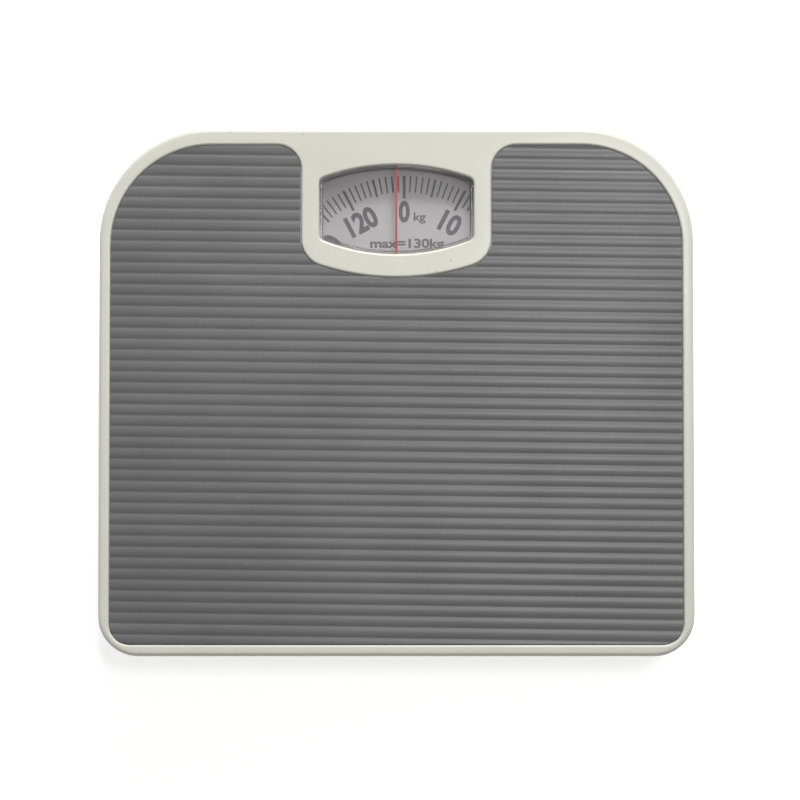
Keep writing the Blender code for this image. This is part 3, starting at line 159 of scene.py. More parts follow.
class ScaleColours(bpy.types.PropertyGroup):
    """Colours of the finishes."""

    cream: colour("Cream enamel", "Paint of the cover and the base", (0.70, 0.69, 0.61))
    vinyl: colour("Grey vinyl", "Mat", (0.142, 0.142, 0.143))
    card: colour("Dial", "Face of the dial", (0.265, 0.25, 0.258))
    ink: colour("Ink", "Ticks and numbers", (0.055, 0.05, 0.055))
    index_red: colour("Index red", "Index line", (0.27, 0.012, 0.025))
    black: colour("Black plastic", "Zero wheel, retainer and dial hub", (0.022, 0.022, 0.024))
    rubber: colour("Rubber", "Feet", (0.03, 0.03, 0.031))
    zinc: colour("Zinc steel", "Levers and brackets", (0.56, 0.57, 0.58))
    spring: colour("Spring steel", "Springs and pins", (0.30, 0.30, 0.31))
    brass: colour("Brass", "Rack, pinion and bearings", (0.66, 0.45, 0.18))


def sizes():
    return bpy.context.scene.scale_sizes


def colours():
    return bpy.context.scene.scale_colours


# ---------------------------------------------------------------------------------------------------------
# Selecting and editing


def only(*pieces):
    """Select these pieces and nothing else, the first one active."""
    bpy.ops.object.select_all(action="DESELECT")
    for piece in pieces:
        piece.select_set(True)
    bpy.context.view_layer.objects.active = pieces[0]
    return pieces[0]


def edit(piece, kind="EDGE"):
    only(piece)
    bpy.ops.object.mode_set(mode="EDIT")
    bpy.ops.mesh.select_mode(type=kind)
    bpy.ops.mesh.select_all(action="DESELECT")


def leave():
    bpy.ops.object.mode_set(mode="OBJECT")


def settle():
    """Put the active piece's place into its mesh."""
    bpy.ops.object.transform_apply(location=True, rotation=True, scale=True)


def named(name):
    """Name the piece that was just added."""
    piece = bpy.context.object
    piece.name = name
    piece.data.name = name
    return piece


def pick_edges(piece, test, boundary=False, sharp=False):
    """Select the edges whose two ends pass the test."""
    bpy.ops.mesh.select_all(action="DESELECT")
    mesh = bmesh.from_edit_mesh(piece.data)
    for edge in mesh.edges:
        if boundary and not edge.is_boundary:
            continue
        if sharp and (len(edge.link_faces) != 2 or edge.calc_face_angle() < math.radians(30)):
            continue
        if all(test(corner.co) for corner in edge.verts):
            edge.select_set(True)
    bmesh.update_edit_mesh(piece.data)


def pick_faces(piece, test):
    """Select the faces whose middle and normal pass the test."""
    bpy.ops.mesh.select_all(action="DESELECT")
    mesh = bmesh.from_edit_mesh(piece.data)
    for face in mesh.faces:
        if test(face.calc_center_median(), face.normal):
            face.select_set(True)
    bmesh.update_edit_mesh(piece.data)


def level(z):
    """A test for points at a height."""
    return lambda place: abs(place.z - z) < CLOSE


def on_outline(points, z):
    """A test for points of a drawn outline at a height."""
    known = {(round(x * 1e5), round(y * 1e5)) for x, y in points}
    steps = (-1, 0, 1)

    def test(place):
        if abs(place.z - z) > CLOSE:
            return False
        x, y = round(place.x * 1e5), round(place.y * 1e5)
        return any((x + a, y + b) in known for a in steps for b in steps)

    return test


def modify(piece, kind, **values):
    """Add a modifier, set it up and apply it."""
    only(piece)
    bpy.ops.object.modifier_add(type=kind)
    modifier = piece.modifiers[-1]
    for name, value in values.items():
        setattr(modifier, name, value)
    bpy.ops.object.modifier_apply(modifier=modifier.name)


def combine(piece, tool, operation):
    """Cut, join or intersect a piece with another one, which is used up."""
    modify(piece, "BOOLEAN", object=tool, operation=operation)
    only(tool)
    bpy.ops.object.delete()
    only(piece)


def smooth(piece, angle=35, weighted=True):
    only(piece)
    bpy.ops.object.shade_smooth_by_angle(angle=math.radians(angle))
    if weighted:
        modify(piece, "WEIGHTED_NORMAL", keep_sharp=True, weight=60)


def face_up(piece):
    """Turn an open sheet's faces so that its largest flat looks up."""
    edit(piece, "FACE")
    bpy.ops.mesh.select_all(action="SELECT")
    bpy.ops.mesh.normals_make_consistent(inside=False)
    mesh = bmesh.from_edit_mesh(piece.data)
    lift = sum(face.normal.z * face.calc_area() for face in mesh.faces)
    if lift < 0:
        bpy.ops.mesh.flip_normals()
    leave()


def place_piece(piece, body, slot, *nodes):
    """Let a finished piece ride on a body and stand for its nodes."""
    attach(piece, body)
    if nodes:
        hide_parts(*nodes)


# ---------------------------------------------------------------------------------------------------------
# Outlines: straight runs are extruded from the last point, and corners are spun


def draw(name, start, runs, z):
    """Draw a closed outline at a height and return it with its points."""
    bpy.ops.mesh.primitive_plane_add(size=2 * MM, location=(*start, z))
    piece = named(name)
    settle()
    edit(piece, "VERT")
    bpy.ops.mesh.select_all(action="SELECT")
    bpy.ops.mesh.merge(type="CENTER")
    place = Vector((*start, z))
    for run in runs:
        if len(run) == 2:
            target = Vector((*run, z))
            if (target - place).length > 1e-6:
                bpy.ops.mesh.extrude_vertices_move(TRANSFORM_OT_translate={"value": target - place})
            place = target
        else:
            x, y, degrees = run
            centre = Vector((x, y, z))
            arm = place - centre
            steps = max(3, round(abs(degrees) * math.sqrt(arm.length / (50 * MM)) / 4.5))
            bpy.ops.mesh.spin(steps=steps, angle=math.radians(degrees), center=centre, axis=(0, 0, -1))
            place = centre + Matrix.Rotation(math.radians(degrees), 3, "Z") @ arm
    bpy.ops.mesh.select_all(action="SELECT")
    bpy.ops.mesh.remove_doubles(threshold=CLOSE)
    leave()
    return piece, [(corner.co.x, corner.co.y) for corner in piece.data.vertices]


def platform_runs(inset):
    """The platform's outline, drawn in by inset."""
    s = sizes()
    side = COVER_HIGH.x - inset
    low, high = COVER_LOW.y + inset, COVER_HIGH.y - inset
    near, far = s.near_corner - inset, s.far_corner - inset
    return (-side, low + near), [
        (-side + near, low + near, 90), (side - near, low), (side - near, low + near, 90),
        (side, high - far), (side - far, high - far, 90), (-side + far, high), (-side + far, high - far, 90),
        (-side, low + near),
    ]


def window_runs(grow):
    """The window: two straight sides between a near and a far arc."""
    s = sizes()
    side = s.window_half + grow
    corner = s.window_corner + grow
    reach = side - corner
    far_arc, near_arc = s.window_far_arc + grow, s.window_near_arc + grow
    far_y = FAR - s.window_inset + grow - far_arc
    near_y = FAR - s.window_inset - s.window_length - grow + near_arc
    far_turn = math.degrees(math.asin(reach / (far_arc - corner)))
    near_turn = math.degrees(math.asin(reach / (near_arc - corner)))
    far_corner_y = far_y + math.sqrt((far_arc - corner) ** 2 - reach ** 2)
    near_corner_y = near_y - math.sqrt((near_arc - corner) ** 2 - reach ** 2)
    return (-side, near_corner_y), [
        (-reach, near_corner_y, 90 - near_turn), (0, near_y, 2 * near_turn),
        (reach, near_corner_y, 90 - near_turn),
        (side, far_corner_y), (reach, far_corner_y, 90 - far_turn), (0, far_y, 2 * far_turn),
        (-reach, far_corner_y, 90 - far_turn), (-side, near_corner_y),
    ]


def mat_runs(grow):
    """The mat, with the notch that leaves the window's surround free."""
    s = sizes()
    side = MAT_HIGH.x + grow
    low, high = MAT_LOW.y - grow, MAT_HIGH.y + grow
    near, far = s.mat_near_corner + grow, s.mat_far_corner + grow
    mouth, fillet = s.notch_mouth + grow, s.notch_fillet - grow
    notch = s.window_half + s.notch_side - grow
    radius = s.notch_arc - grow
    arc_y = FAR - s.window_inset - s.window_length - s.notch_near + s.notch_arc
    reach = notch - fillet
    turn = math.degrees(math.asin(reach / (radius - fillet)))
    fillet_y = arc_y - math.sqrt((radius - fillet) ** 2 - reach ** 2)
    return (-side, low + near), [
        (-side + near, low + near, 90), (side - near, low), (side - near, low + near, 90),
        (side, high - far), (side - far, high - far, 90),
        (notch + mouth, high), (notch + mouth, high - mouth, 90),
        (notch, fillet_y), (reach, fillet_y, turn - 90), (0, arc_y, -2 * turn), (-reach, fillet_y, turn - 90),
        (-notch, high - mouth), (-notch - mouth, high - mouth, 90), (-side + far, high),
        (-side + far, high - far, 90), (-side, low + near),
    ]


def fill_outline(piece):
    edit(piece)
    bpy.ops.mesh.select_all(action="SELECT")
    bpy.ops.mesh.edge_face_add()
    leave()


def raise_outline(name, drawn, low, high):
    """A solid block under a drawn outline."""
    piece, _ = draw(name, *drawn, low)
    fill_outline(piece)
    edit(piece, "FACE")
    bpy.ops.mesh.select_all(action="SELECT")
    bpy.ops.mesh.extrude_region_move(TRANSFORM_OT_translate={"value": (0, 0, high - low)})
    bpy.ops.mesh.select_all(action="SELECT")
    bpy.ops.mesh.normals_make_consistent(inside=False)
    leave()
    return piece


def lower_edges(piece, test, depth, boundary=True):
    """Pull a loop of edges straight down into a wall."""
    pick_edges(piece, test, boundary=boundary)
    bpy.ops.mesh.extrude_edges_move(TRANSFORM_OT_translate={"value": (0, 0, -depth)})


def round_edges(piece, test, radius, steps):
    pick_edges(piece, test, sharp=True)
    bpy.ops.mesh.bevel(offset=radius, segments=steps, profile=0.5, affect="EDGES", loop_slide=False)


# ---------------------------------------------------------------------------------------------------------
# Finishes


def new_group(name, inputs, outputs):
    """A shader node group with its sockets, its inner nodes' maker and its output node."""
    group = bpy.data.node_groups.new(name, "ShaderNodeTree")
    for socket, kind, default in inputs:
        made = group.interface.new_socket(name=socket, in_out="INPUT", socket_type=kind)
        made.default_value = default
    for socket, kind in outputs:
        group.interface.new_socket(name=socket, in_out="OUTPUT", socket_type=kind)
    return group, group.nodes.new("NodeGroupInput"), group.nodes.new("NodeGroupOutput")


def add_node(tree, kind, inputs=None, **values):
    node = tree.nodes.new(kind)
    for name, value in values.items():
        setattr(node, name, value)
    for name, value in (inputs or {}).items():
        if isinstance(value, bpy.types.NodeSocket):
            tree.links.new(value, node.inputs[name])
        else:
            node.inputs[name].default_value = value
    return node


def place_noise(tree, scale, detail, roughness=0.55, stretch=(1, 1, 1)):
    """Noise laid on the object's own coordinates, in features per metre."""
    where = add_node(tree, "ShaderNodeTexCoord")
    mapping = add_node(tree, "ShaderNodeMapping", {"Vector": where.outputs["Object"], "Scale": stretch})
    return add_node(tree, "ShaderNodeTexNoise", {"Vector": mapping.outputs["Vector"], "Scale": scale,
                                                 "Detail": detail, "Roughness": roughness})


def ramp(tree, value, low, high, from_low=0.0, from_high=1.0):
    """Carry a value from one range to another, clamped."""
    return add_node(tree, "ShaderNodeMapRange", {"Value": value, "From Min": from_low, "From Max": from_high,
                                                 "To Min": low, "To Max": high}).outputs["Result"]


def blend_colours(tree, factor, first, second, how="MIX"):
    node = add_node(tree, "ShaderNodeMix", data_type="RGBA", blend_type=how)
    for name, value in (("Factor", factor), ("A", first), ("B", second)):
        socket = [s for s in node.inputs if s.name == name and s.enabled][0]
        if isinstance(value, bpy.types.NodeSocket):
            tree.links.new(value, socket)
        else:
            socket.default_value = value
    return [s for s in node.outputs if s.enabled][0]


def make_mottle_group():
    """Slow drift of a colour over a surface, with faint stains."""
    group, given, result = new_group(
        "mottle",
        [("Colour", "NodeSocketColor", (1, 1, 1, 1)), ("Shade", "NodeSocketColor", (0.5, 0.5, 0.5, 1)),
         ("Scale", "NodeSocketFloat", 12.0), ("Amount", "NodeSocketFloat", 0.4)],
        [("Colour", "NodeSocketColor"), ("Mask", "NodeSocketFloat")])
    noise = place_noise(group, given.outputs["Scale"], 4)
    mask = ramp(group, noise.outputs["Fac"], 0, 1, 0.35, 0.7)
    scaled = add_node(group, "ShaderNodeMath", {0: mask, 1: given.outputs["Amount"]}, operation="MULTIPLY")
    mixed = blend_colours(group, scaled.outputs[0], given.outputs["Colour"], given.outputs["Shade"])
    group.links.new(mixed, result.inputs["Colour"])
    group.links.new(mask, result.inputs["Mask"])
    return group


def make_grain_group():
    """A fine surface relief, as a normal, with the height it comes from."""
    group, given, result = new_group(
        "grain",
        [("Scale", "NodeSocketFloat", 900.0), ("Depth", "NodeSocketFloat", 0.00005),
         ("Strength", "NodeSocketFloat", 0.3)],
        [("Normal", "NodeSocketVector"), ("Height", "NodeSocketFloat")])
    noise = place_noise(group, given.outputs["Scale"], 3, 0.6)
    bump = add_node(group, "ShaderNodeBump", {"Height": noise.outputs["Fac"],
                                              "Distance": given.outputs["Depth"],
                                              "Strength": given.outputs["Strength"]})
    group.links.new(bump.outputs["Normal"], result.inputs["Normal"])
    group.links.new(noise.outputs["Fac"], result.inputs["Height"])
    return group


def make_speck_group():
    """Scattered specks of dust or chipping, laid over a colour."""
    group, given, result = new_group(
        "specks",
        [("Colour", "NodeSocketColor", (1, 1, 1, 1)), ("Speck", "NodeSocketColor", (0.4, 0.38, 0.33, 1)),
         ("Scale", "NodeSocketFloat", 140.0), ("Size", "NodeSocketFloat", 0.12),
         ("Amount", "NodeSocketFloat", 0.6)],
        [("Colour", "NodeSocketColor"), ("Mask", "NodeSocketFloat")])
    where = add_node(group, "ShaderNodeTexCoord")
    cells = add_node(group, "ShaderNodeTexVoronoi", {"Vector": where.outputs["Object"],
                                                     "Scale": given.outputs["Scale"]})
    near = add_node(group, "ShaderNodeMath", {0: cells.outputs["Distance"], 1: given.outputs["Size"]},
                    operation="LESS_THAN")
    rare = place_noise(group, 23, 2)
    patch = ramp(group, rare.outputs["Fac"], 0, 1, 0.52, 0.62)
    both = add_node(group, "ShaderNodeMath", {0: near.outputs[0], 1: patch}, operation="MULTIPLY")
    mask = add_node(group, "ShaderNodeMath", {0: both.outputs[0], 1: given.outputs["Amount"]},
                    operation="MULTIPLY")
    mixed = blend_colours(group, mask.outputs[0], given.outputs["Colour"], given.outputs["Speck"])
    group.links.new(mixed, result.inputs["Colour"])
    group.links.new(mask.outputs[0], result.inputs["Mask"])
    return group


def make_edge_group():
    """Painted highlight: a mask of convex edges, broken up by noise, where the colour turns lighter."""
    group, given, result = new_group(
        "edge_highlight",
        [("Colour", "NodeSocketColor", (1, 1, 1, 1)), ("Worn", "NodeSocketColor", (0.9, 0.9, 0.9, 1)),
         ("Amount", "NodeSocketFloat", 0.5)],
        [("Colour", "NodeSocketColor"), ("Mask", "NodeSocketFloat")])
    surface = add_node(group, "ShaderNodeNewGeometry")
    edge = ramp(group, surface.outputs["Pointiness"], 0, 1, 0.505, 0.56)
    noise = place_noise(group, 160, 4)
    broken = ramp(group, noise.outputs["Fac"], 0.15, 1, 0.35, 0.65)
    both = add_node(group, "ShaderNodeMath", {0: edge, 1: broken}, operation="MULTIPLY")
    mask = add_node(group, "ShaderNodeMath", {0: both.outputs[0], 1: given.outputs["Amount"]},
                    operation="MULTIPLY")
    mixed = blend_colours(group, mask.outputs[0], given.outputs["Colour"], given.outputs["Worn"])
    group.links.new(mixed, result.inputs["Colour"])
    group.links.new(mask.outputs[0], result.inputs["Mask"])
    return group


def group_node(tree, name, **inputs):
    """Place a shared node group with its own values."""
    return add_node(tree, "ShaderNodeGroup", inputs, node_tree=bpy.data.node_groups[name])


def tinted(tone, factor):
    return tuple(min(1, part * factor) for part in tone) + (1,)


def new_finish(name):
    finish = bpy.data.materials.new(name)
    finish.use_nodes = True
    return finish, finish.node_tree, finish.node_tree.nodes["Principled BSDF"]


def link_rough(tree, shader, mask, low, high):
    tree.links.new(ramp(tree, mask, low, high), shader.inputs["Roughness"])


def make_cream(tone):
    """Stoved enamel: slow unevenness, fine orange peel, a painted highlight on the convex edges and a few
    specks.
    """
    finish, tree, shader = new_finish("cream_enamel")
    drift = group_node(tree, "mottle", Colour=tinted(tone, 1.03),
                       Shade=tinted(tone, 0.93), Scale=9.0, Amount=0.8)
    fleck = group_node(tree, "specks", Colour=drift.outputs["Colour"], Speck=tinted((0.42, 0.36, 0.26), 1),
                       Scale=210.0, Size=0.13, Amount=0.45)
    # Painted highlight: the convex edges are lightened towards a paler cream, broken up by noise.
    edge = group_node(tree, "edge_highlight", Colour=fleck.outputs["Colour"], Worn=tinted(tone, 1.12), Amount=0.5)
    peel = group_node(tree, "grain", Scale=420.0, Depth=0.00004, Strength=0.35)
    tree.links.new(edge.outputs["Colour"], shader.inputs["Base Color"])
    link_rough(tree, shader, drift.outputs["Mask"], 0.36, 0.46)
    tree.links.new(peel.outputs["Normal"], shader.inputs["Normal"])
    shader.inputs["Coat Weight"].default_value = 0.15
    shader.inputs["Coat Roughness"].default_value = 0.2
    return finish


def make_vinyl(tone):
    """Soft ribbed vinyl: leathery grain, scuffs along the ribs and dust in the grooves."""
    finish, tree, shader = new_finish("ribbed_vinyl")
    drift = group_node(tree, "mottle", Colour=tinted(tone, 1.1),
                       Shade=tinted(tone, 0.86), Scale=14.0, Amount=0.8)
    streak = place_noise(tree, 60, 5, 0.6, (0.12, 1, 1))
    scuff = ramp(tree, streak.outputs["Fac"], 0, 0.35, 0.5, 0.72)
    rubbed = blend_colours(tree, scuff, drift.outputs["Colour"], tinted(tone, 1.35))
    fleck = group_node(tree, "specks", Colour=rubbed, Speck=tinted((0.30, 0.29, 0.27), 1), Scale=330.0,
                       Size=0.1, Amount=0.5)
    grain = group_node(tree, "grain", Scale=1500.0, Depth=0.00006, Strength=0.35)
    tree.links.new(fleck.outputs["Colour"], shader.inputs["Base Color"])
    link_rough(tree, shader, scuff, 0.36, 0.5)
    tree.links.new(grain.outputs["Normal"], shader.inputs["Normal"])
    return finish


def make_clear():
    """Clear acrylic, which lets lamps through to the dial."""
    finish, tree, shader = new_finish("clear_acrylic")
    haze = place_noise(tree, 90, 4, 0.6)
    link_rough(tree, shader, haze.outputs["Fac"], 0.02, 0.07)
    path = add_node(tree, "ShaderNodeLightPath")
    tree.links.new(ramp(tree, path.outputs["Is Shadow Ray"], 1, 0.06), shader.inputs["Alpha"])
    shader.inputs["Base Color"].default_value = (0.97, 0.975, 0.97, 1)
    shader.inputs["Transmission Weight"].default_value = 1
    shader.inputs["IOR"].default_value = 1.49
    return finish


def make_card(tone):
    """Lithographed tin: pale, slightly lilac, with a faint mottle and a satin lacquer."""
    finish, tree, shader = new_finish("dial_face")
    drift = group_node(tree, "mottle", Colour=tinted(tone, 1.04),
                       Shade=tinted(tone, 0.93), Scale=26.0, Amount=0.7)
    fleck = group_node(tree, "specks", Colour=drift.outputs["Colour"], Speck=tinted(tone, 0.7), Scale=420.0,
                       Size=0.1, Amount=0.5)
    grain = group_node(tree, "grain", Scale=1200.0, Depth=0.00002, Strength=0.25)
    tree.links.new(fleck.outputs["Colour"], shader.inputs["Base Color"])
    link_rough(tree, shader, drift.outputs["Mask"], 0.45, 0.55)
    tree.links.new(grain.outputs["Normal"], shader.inputs["Normal"])
    return finish


def make_print(name, tone, rough):
    """Printed ink, a little uneven where it lies thin."""
    finish, tree, shader = new_finish(name)
    drift = group_node(tree, "mottle", Colour=tinted(tone, 0.9),
                       Shade=tinted(tone, 1.5), Scale=320.0, Amount=0.5)
    tree.links.new(drift.outputs["Colour"], shader.inputs["Base Color"])
    link_rough(tree, shader, drift.outputs["Mask"], rough, rough + 0.15)
    return finish


def make_moulded(name, tone, rough, scale):
    """Moulded plastic or rubber: fine spark texture, dust and slightly shiny high spots."""
    finish, tree, shader = new_finish(name)
    drift = group_node(tree, "mottle", Colour=tinted(tone, 1),
                       Shade=tinted(tone, 1.7), Scale=30.0, Amount=0.6)
    dust = group_node(tree, "specks", Colour=drift.outputs["Colour"], Speck=tinted((0.3, 0.29, 0.27), 1),
                      Scale=520.0, Size=0.12, Amount=0.35)
    grain = group_node(tree, "grain", Scale=scale, Depth=0.00005, Strength=0.4)
    tree.links.new(dust.outputs["Colour"], shader.inputs["Base Color"])
    link_rough(tree, shader, drift.outputs["Mask"], rough, rough + 0.18)
    tree.links.new(grain.outputs["Normal"], shader.inputs["Normal"])
    return finish


def make_metal(name, tone, rough, stretch, tarnish):
    """Bare or plated metal: drawn or rolled lines, tarnish in patches and fine scratches."""
    finish, tree, shader = new_finish(name)
    drift = group_node(tree, "mottle", Colour=tinted(tone, 1.05),
                       Shade=tarnish + (1,), Scale=38.0, Amount=0.45)
    lines = place_noise(tree, 700, 4, 0.65, stretch)
    shaded = blend_colours(tree, ramp(tree, lines.outputs["Fac"], 0, 0.3, 0.4, 0.7), drift.outputs["Colour"],
                           tinted(tone, 0.6))
    tree.links.new(shaded, shader.inputs["Base Color"])
    rougher = add_node(tree, "ShaderNodeMath", {0: drift.outputs["Mask"], 1: lines.outputs["Fac"]},
                       operation="ADD")
    tree.links.new(ramp(tree, rougher.outputs[0], rough, rough + 0.22, 0.3, 1.5), shader.inputs["Roughness"])
    bump = add_node(tree, "ShaderNodeBump", {"Height": lines.outputs["Fac"], "Strength": 0.2,
                                             "Distance": 0.00004})
    tree.links.new(bump.outputs["Normal"], shader.inputs["Normal"])
    shader.inputs["Metallic"].default_value = 1
    return finish


def paint(piece, finish):
    piece.data.materials.clear()
    piece.data.materials.append(bpy.data.materials[finish])


# The first finish whose words a node's name starts with is taken, so the rack's spring comes before the rack
NODE_FINISHES = (
    ("cream_enamel", ("base_pan", "top_cover")),
    ("ribbed_vinyl", ("tread_mat",)),
    ("clear_acrylic", ("window_lens",)),
    ("dial_face", ("dial_disc",)),
    ("black_plastic", ("lens_retainer", "zero_wheel", "dial_hub", "dial_clamp_nut", "rack_guide")),
    ("foot_rubber", ("foot_",)),
    ("spring_steel", ("fulcrum_pin", "load_pin", "bridge_pin", "crank_pin", "main_spring", "keeper_spring",
                      "rack_return_spring")),
    ("brass", ("lift_screw", "pinion_shaft", "pivot_cup", "dial_bush", "rack")),
    ("zinc_steel", ("",)),
)


class SCALE_OT_finishes(bpy.types.Operator):
    """Make the finishes and give every piece of the frame its own"""

    bl_idname = "bathroom_scale.finishes"
    bl_label = "Finishes"

    def execute(self, context):
        c = colours()
        make_mottle_group()
        make_grain_group()
        make_speck_group()
        make_edge_group()
        make_cream(c.cream)
        make_vinyl(c.vinyl)
        make_clear()
        make_card(c.card)
        make_print("dial_ink", c.ink, 0.45)
        make_print("index_red", c.index_red, 0.3)
        make_moulded("black_plastic", c.black, 0.35, 1600.0)
        make_moulded("foot_rubber", c.rubber, 0.6, 1100.0)
        make_metal("zinc_steel", c.zinc, 0.26, (0.15, 1, 1), (0.36, 0.37, 0.38))
        make_metal("spring_steel", c.spring, 0.24, (1, 1, 0.15), (0.16, 0.15, 0.14))
        make_metal("brass", c.brass, 0.24, (1, 0.15, 1), (0.34, 0.2, 0.08))
        for name, node in NODES.items():
            for finish, starts in NODE_FINISHES:
                if name.startswith(starts):
                    paint(node, finish)
                    break
        return {"FINISHED"}


# ---------------------------------------------------------------------------------------------------------
# Cover


def lug(name, x, low, high, hole):
    """An upright tab with a hole for a spring's hook."""
    bpy.ops.mesh.primitive_cube_add(size=1, location=(x, LUG_Y, (low + high) / 2),
                                    scale=(LUG_THICKNESS, LUG_WIDTH, high - low))
    piece = named(name)
    settle()
    edit(piece)
    free = low if hole < (low + high) / 2 else high
    pick_edges(piece, level(free))
    mesh = bmesh.from_edit_mesh(piece.data)
    for edge in mesh.edges:
        if abs(edge.verts[0].co.x - edge.verts[1].co.x) < 1e-6:
            edge.select_set(False)
    bmesh.update_edit_mesh(piece.data)
    bpy.ops.mesh.bevel(offset=LUG_CORNER, segments=5, affect="EDGES")
    leave()
    bpy.ops.mesh.primitive_cylinder_add(vertices=24, radius=LUG_HOLE_RADIUS, depth=4 * LUG_THICKNESS,
                                        location=(x, LUG_Y, hole), rotation=(0, math.pi / 2, 0))
    settle()
    combine(piece, named("lug_hole"), "DIFFERENCE")
    return piece


class SCALE_OT_cover(bpy.types.Operator):
    """Press the cover: its bent edge, the mat's recess and the window's turned-down collar"""

    bl_idname = "bathroom_scale.cover"
    bl_label = "Cover"

    def execute(self, context):
        s = sizes()
        cover, outline = draw("cover_shell", *platform_runs(0), TOP)
        recess, recess_line = draw("recess_line", *mat_runs(s.mat_gap), TOP)
        window, window_line = draw("window_line", *window_runs(0), TOP)
        only(cover, recess, window)
        bpy.ops.object.join()
        edit(cover)
        bpy.ops.mesh.select_all(action="SELECT")
        bpy.ops.mesh.fill(use_beauty=True)
        floor = MAT_LOW.z - MAT_FLOOR_GAP
        lower_edges(cover, on_outline(outline, TOP), TOP - COVER_LOW.z)
        lower_edges(cover, on_outline(window_line, TOP), s.collar)
        lower_edges(cover, on_outline(recess_line, TOP), TOP - floor)
        pick_edges(cover, on_outline(recess_line, floor), boundary=True)
        bpy.ops.mesh.edge_face_add()
        round_edges(cover, on_outline(outline, TOP), s.edge_bend, 6)
        round_edges(cover, on_outline(recess_line, TOP), s.rim_bend, 4)
        round_edges(cover, on_outline(window_line, TOP), s.rim_bend, 4)
        pick_faces(cover, lambda middle, normal: abs(middle.z - TOP) < CLOSE)
        bpy.ops.mesh.delete(type="FACE")
        bpy.ops.mesh.select_mode(type="EDGE")
        pick_edges(cover, level(TOP), boundary=True)
        bpy.ops.mesh.fill(use_beauty=True)
        leave()
        face_up(cover)
        modify(cover, "SOLIDIFY", thickness=s.sheet, offset=-1, use_even_offset=True,
               use_quality_normals=True)
        smooth(cover)
        paint(cover, "cream_enamel")
        place_piece(cover, "platform", "cream_paint", "top_cover")
        for label, side in (("left", -1), ("right", 1)):
            x = side * (COVER_HIGH.x - LUG_INSET)
            low, high = floor - s.sheet - LUG_DROP, floor - s.sheet + LUG_SINK
            tab = lug("cover_lug_" + label, x, low, high, low + LUG_HOLE_RISE)
            smooth(tab)
            paint(tab, "cream_enamel")
            place_piece(tab, "platform", "cream_paint", "top_cover")
        return {"FINISHED"}


# ---------------------------------------------------------------------------------------------------------
# Mat


class SCALE_OT_mat(bpy.types.Operator):
    """Rib the mat from side to side and cut it to its outline"""

    bl_idname = "bathroom_scale.mat"
    bl_label = "Mat"

    def execute(self, context):
        s = sizes()
        pitch, height = s.rib_pitch, s.rib_height
        count = 2 * math.ceil(COVER_HIGH.y / pitch) + 3
        radius = (pitch * pitch / 4 + height * height) / (2 * height)
        half_turn = math.asin(pitch / 2 / radius)
        end = COVER_HIGH.x + 20 * MM
        start = Vector((-end, -count * pitch / 2, TOP - height))
        bpy.ops.mesh.primitive_plane_add(size=2 * MM, location=start)
        mat = named("ribbed_mat")
        settle()
        edit(mat, "VERT")
        bpy.ops.mesh.select_all(action="SELECT")
        bpy.ops.mesh.merge(type="CENTER")
        centre = start + Vector((0, pitch / 2, height - radius))
        bpy.ops.mesh.spin(steps=10, angle=2 * half_turn, center=centre, axis=(1, 0, 0))
        bpy.ops.mesh.select_all(action="SELECT")
        bpy.ops.mesh.extrude_region_move(TRANSFORM_OT_translate={"value": (2 * end, 0, 0)})
        leave()
        modify(mat, "ARRAY", count=count, use_relative_offset=False, use_constant_offset=True,
               constant_offset_displace=(0, pitch, 0), use_merge_vertices=True, merge_threshold=0.00001)
        edit(mat)
        pick_edges(mat, lambda place: True, boundary=True)
        bpy.ops.mesh.extrude_edges_move(TRANSFORM_OT_translate={"value": (0, 0, -1.5 * height)})
        bpy.ops.transform.resize(value=(1, 1, 0), center_override=(0, 0, MAT_LOW.z))
        bpy.ops.mesh.edge_face_add()
        bpy.ops.mesh.select_all(action="SELECT")
        bpy.ops.mesh.normals_make_consistent(inside=False)
        bpy.ops.transform.rotate(value=s.rib_skew, orient_axis="Z", center_override=(0, 0, 0))
        leave()
        shape = raise_outline("mat_shape", mat_runs(0), MAT_LOW.z - 2 * MM, TOP + 2 * MM)
        combine(mat, shape, "INTERSECT")
        smooth(mat, 40)
        paint(mat, "ribbed_vinyl")
        place_piece(mat, "platform", "grey_vinyl", "tread_mat")
        return {"FINISHED"}


# ---------------------------------------------------------------------------------------------------------
# Window


class SCALE_OT_window(bpy.types.Operator):
    """Mould the window's tray and draw the red index line under it"""

    bl_idname = "bathroom_scale.window"
    bl_label = "Window"

    def execute(self, context):
        lens, inner = draw("clear_window", *window_runs(-LENS_GAP), LENS_HIGH.z)
        fill_outline(lens)
        edit(lens)
        flange = LENS_LOW.z + FLANGE_RISE
        lower_edges(lens, on_outline(inner, LENS_HIGH.z), LENS_HIGH.z - flange)
        leave()
        skirt, _ = draw("flange_line", *window_runs(FLANGE_REACH), flange)
        only(lens, skirt)
        bpy.ops.object.join()
        edit(lens)
        pick_edges(lens, level(flange))
        bpy.ops.mesh.fill(use_beauty=True)
        round_edges(lens, on_outline(inner, LENS_HIGH.z), 0.5 * MM, 3)
        leave()
        face_up(lens)
        modify(lens, "SOLIDIFY", thickness=LENS_THICKNESS, offset=-1, use_even_offset=True,
               use_quality_normals=True)
        smooth(lens)
        paint(lens, "clear_acrylic")
        place_piece(lens, "platform", "clear_plastic", "window_lens")
        low, high = LENS_LOW.y + 3 * MM, LENS_HIGH.y - 3 * MM
        bpy.ops.mesh.primitive_cube_add(size=1, location=(0, (low + high) / 2, LENS_HIGH.z - 1.4 * MM),
                                        scale=(sizes().index_width, high - low, 0.2 * MM))
        line = named("index_line")
        settle()
        modify(line, "BEVEL", width=0.08 * MM, segments=2, limit_method="ANGLE")
        smooth(line, weighted=False)
        paint(line, "index_red")
        place_piece(line, "platform", "clear_plastic")
        return {"FINISHED"}


# ---------------------------------------------------------------------------------------------------------
# Dial


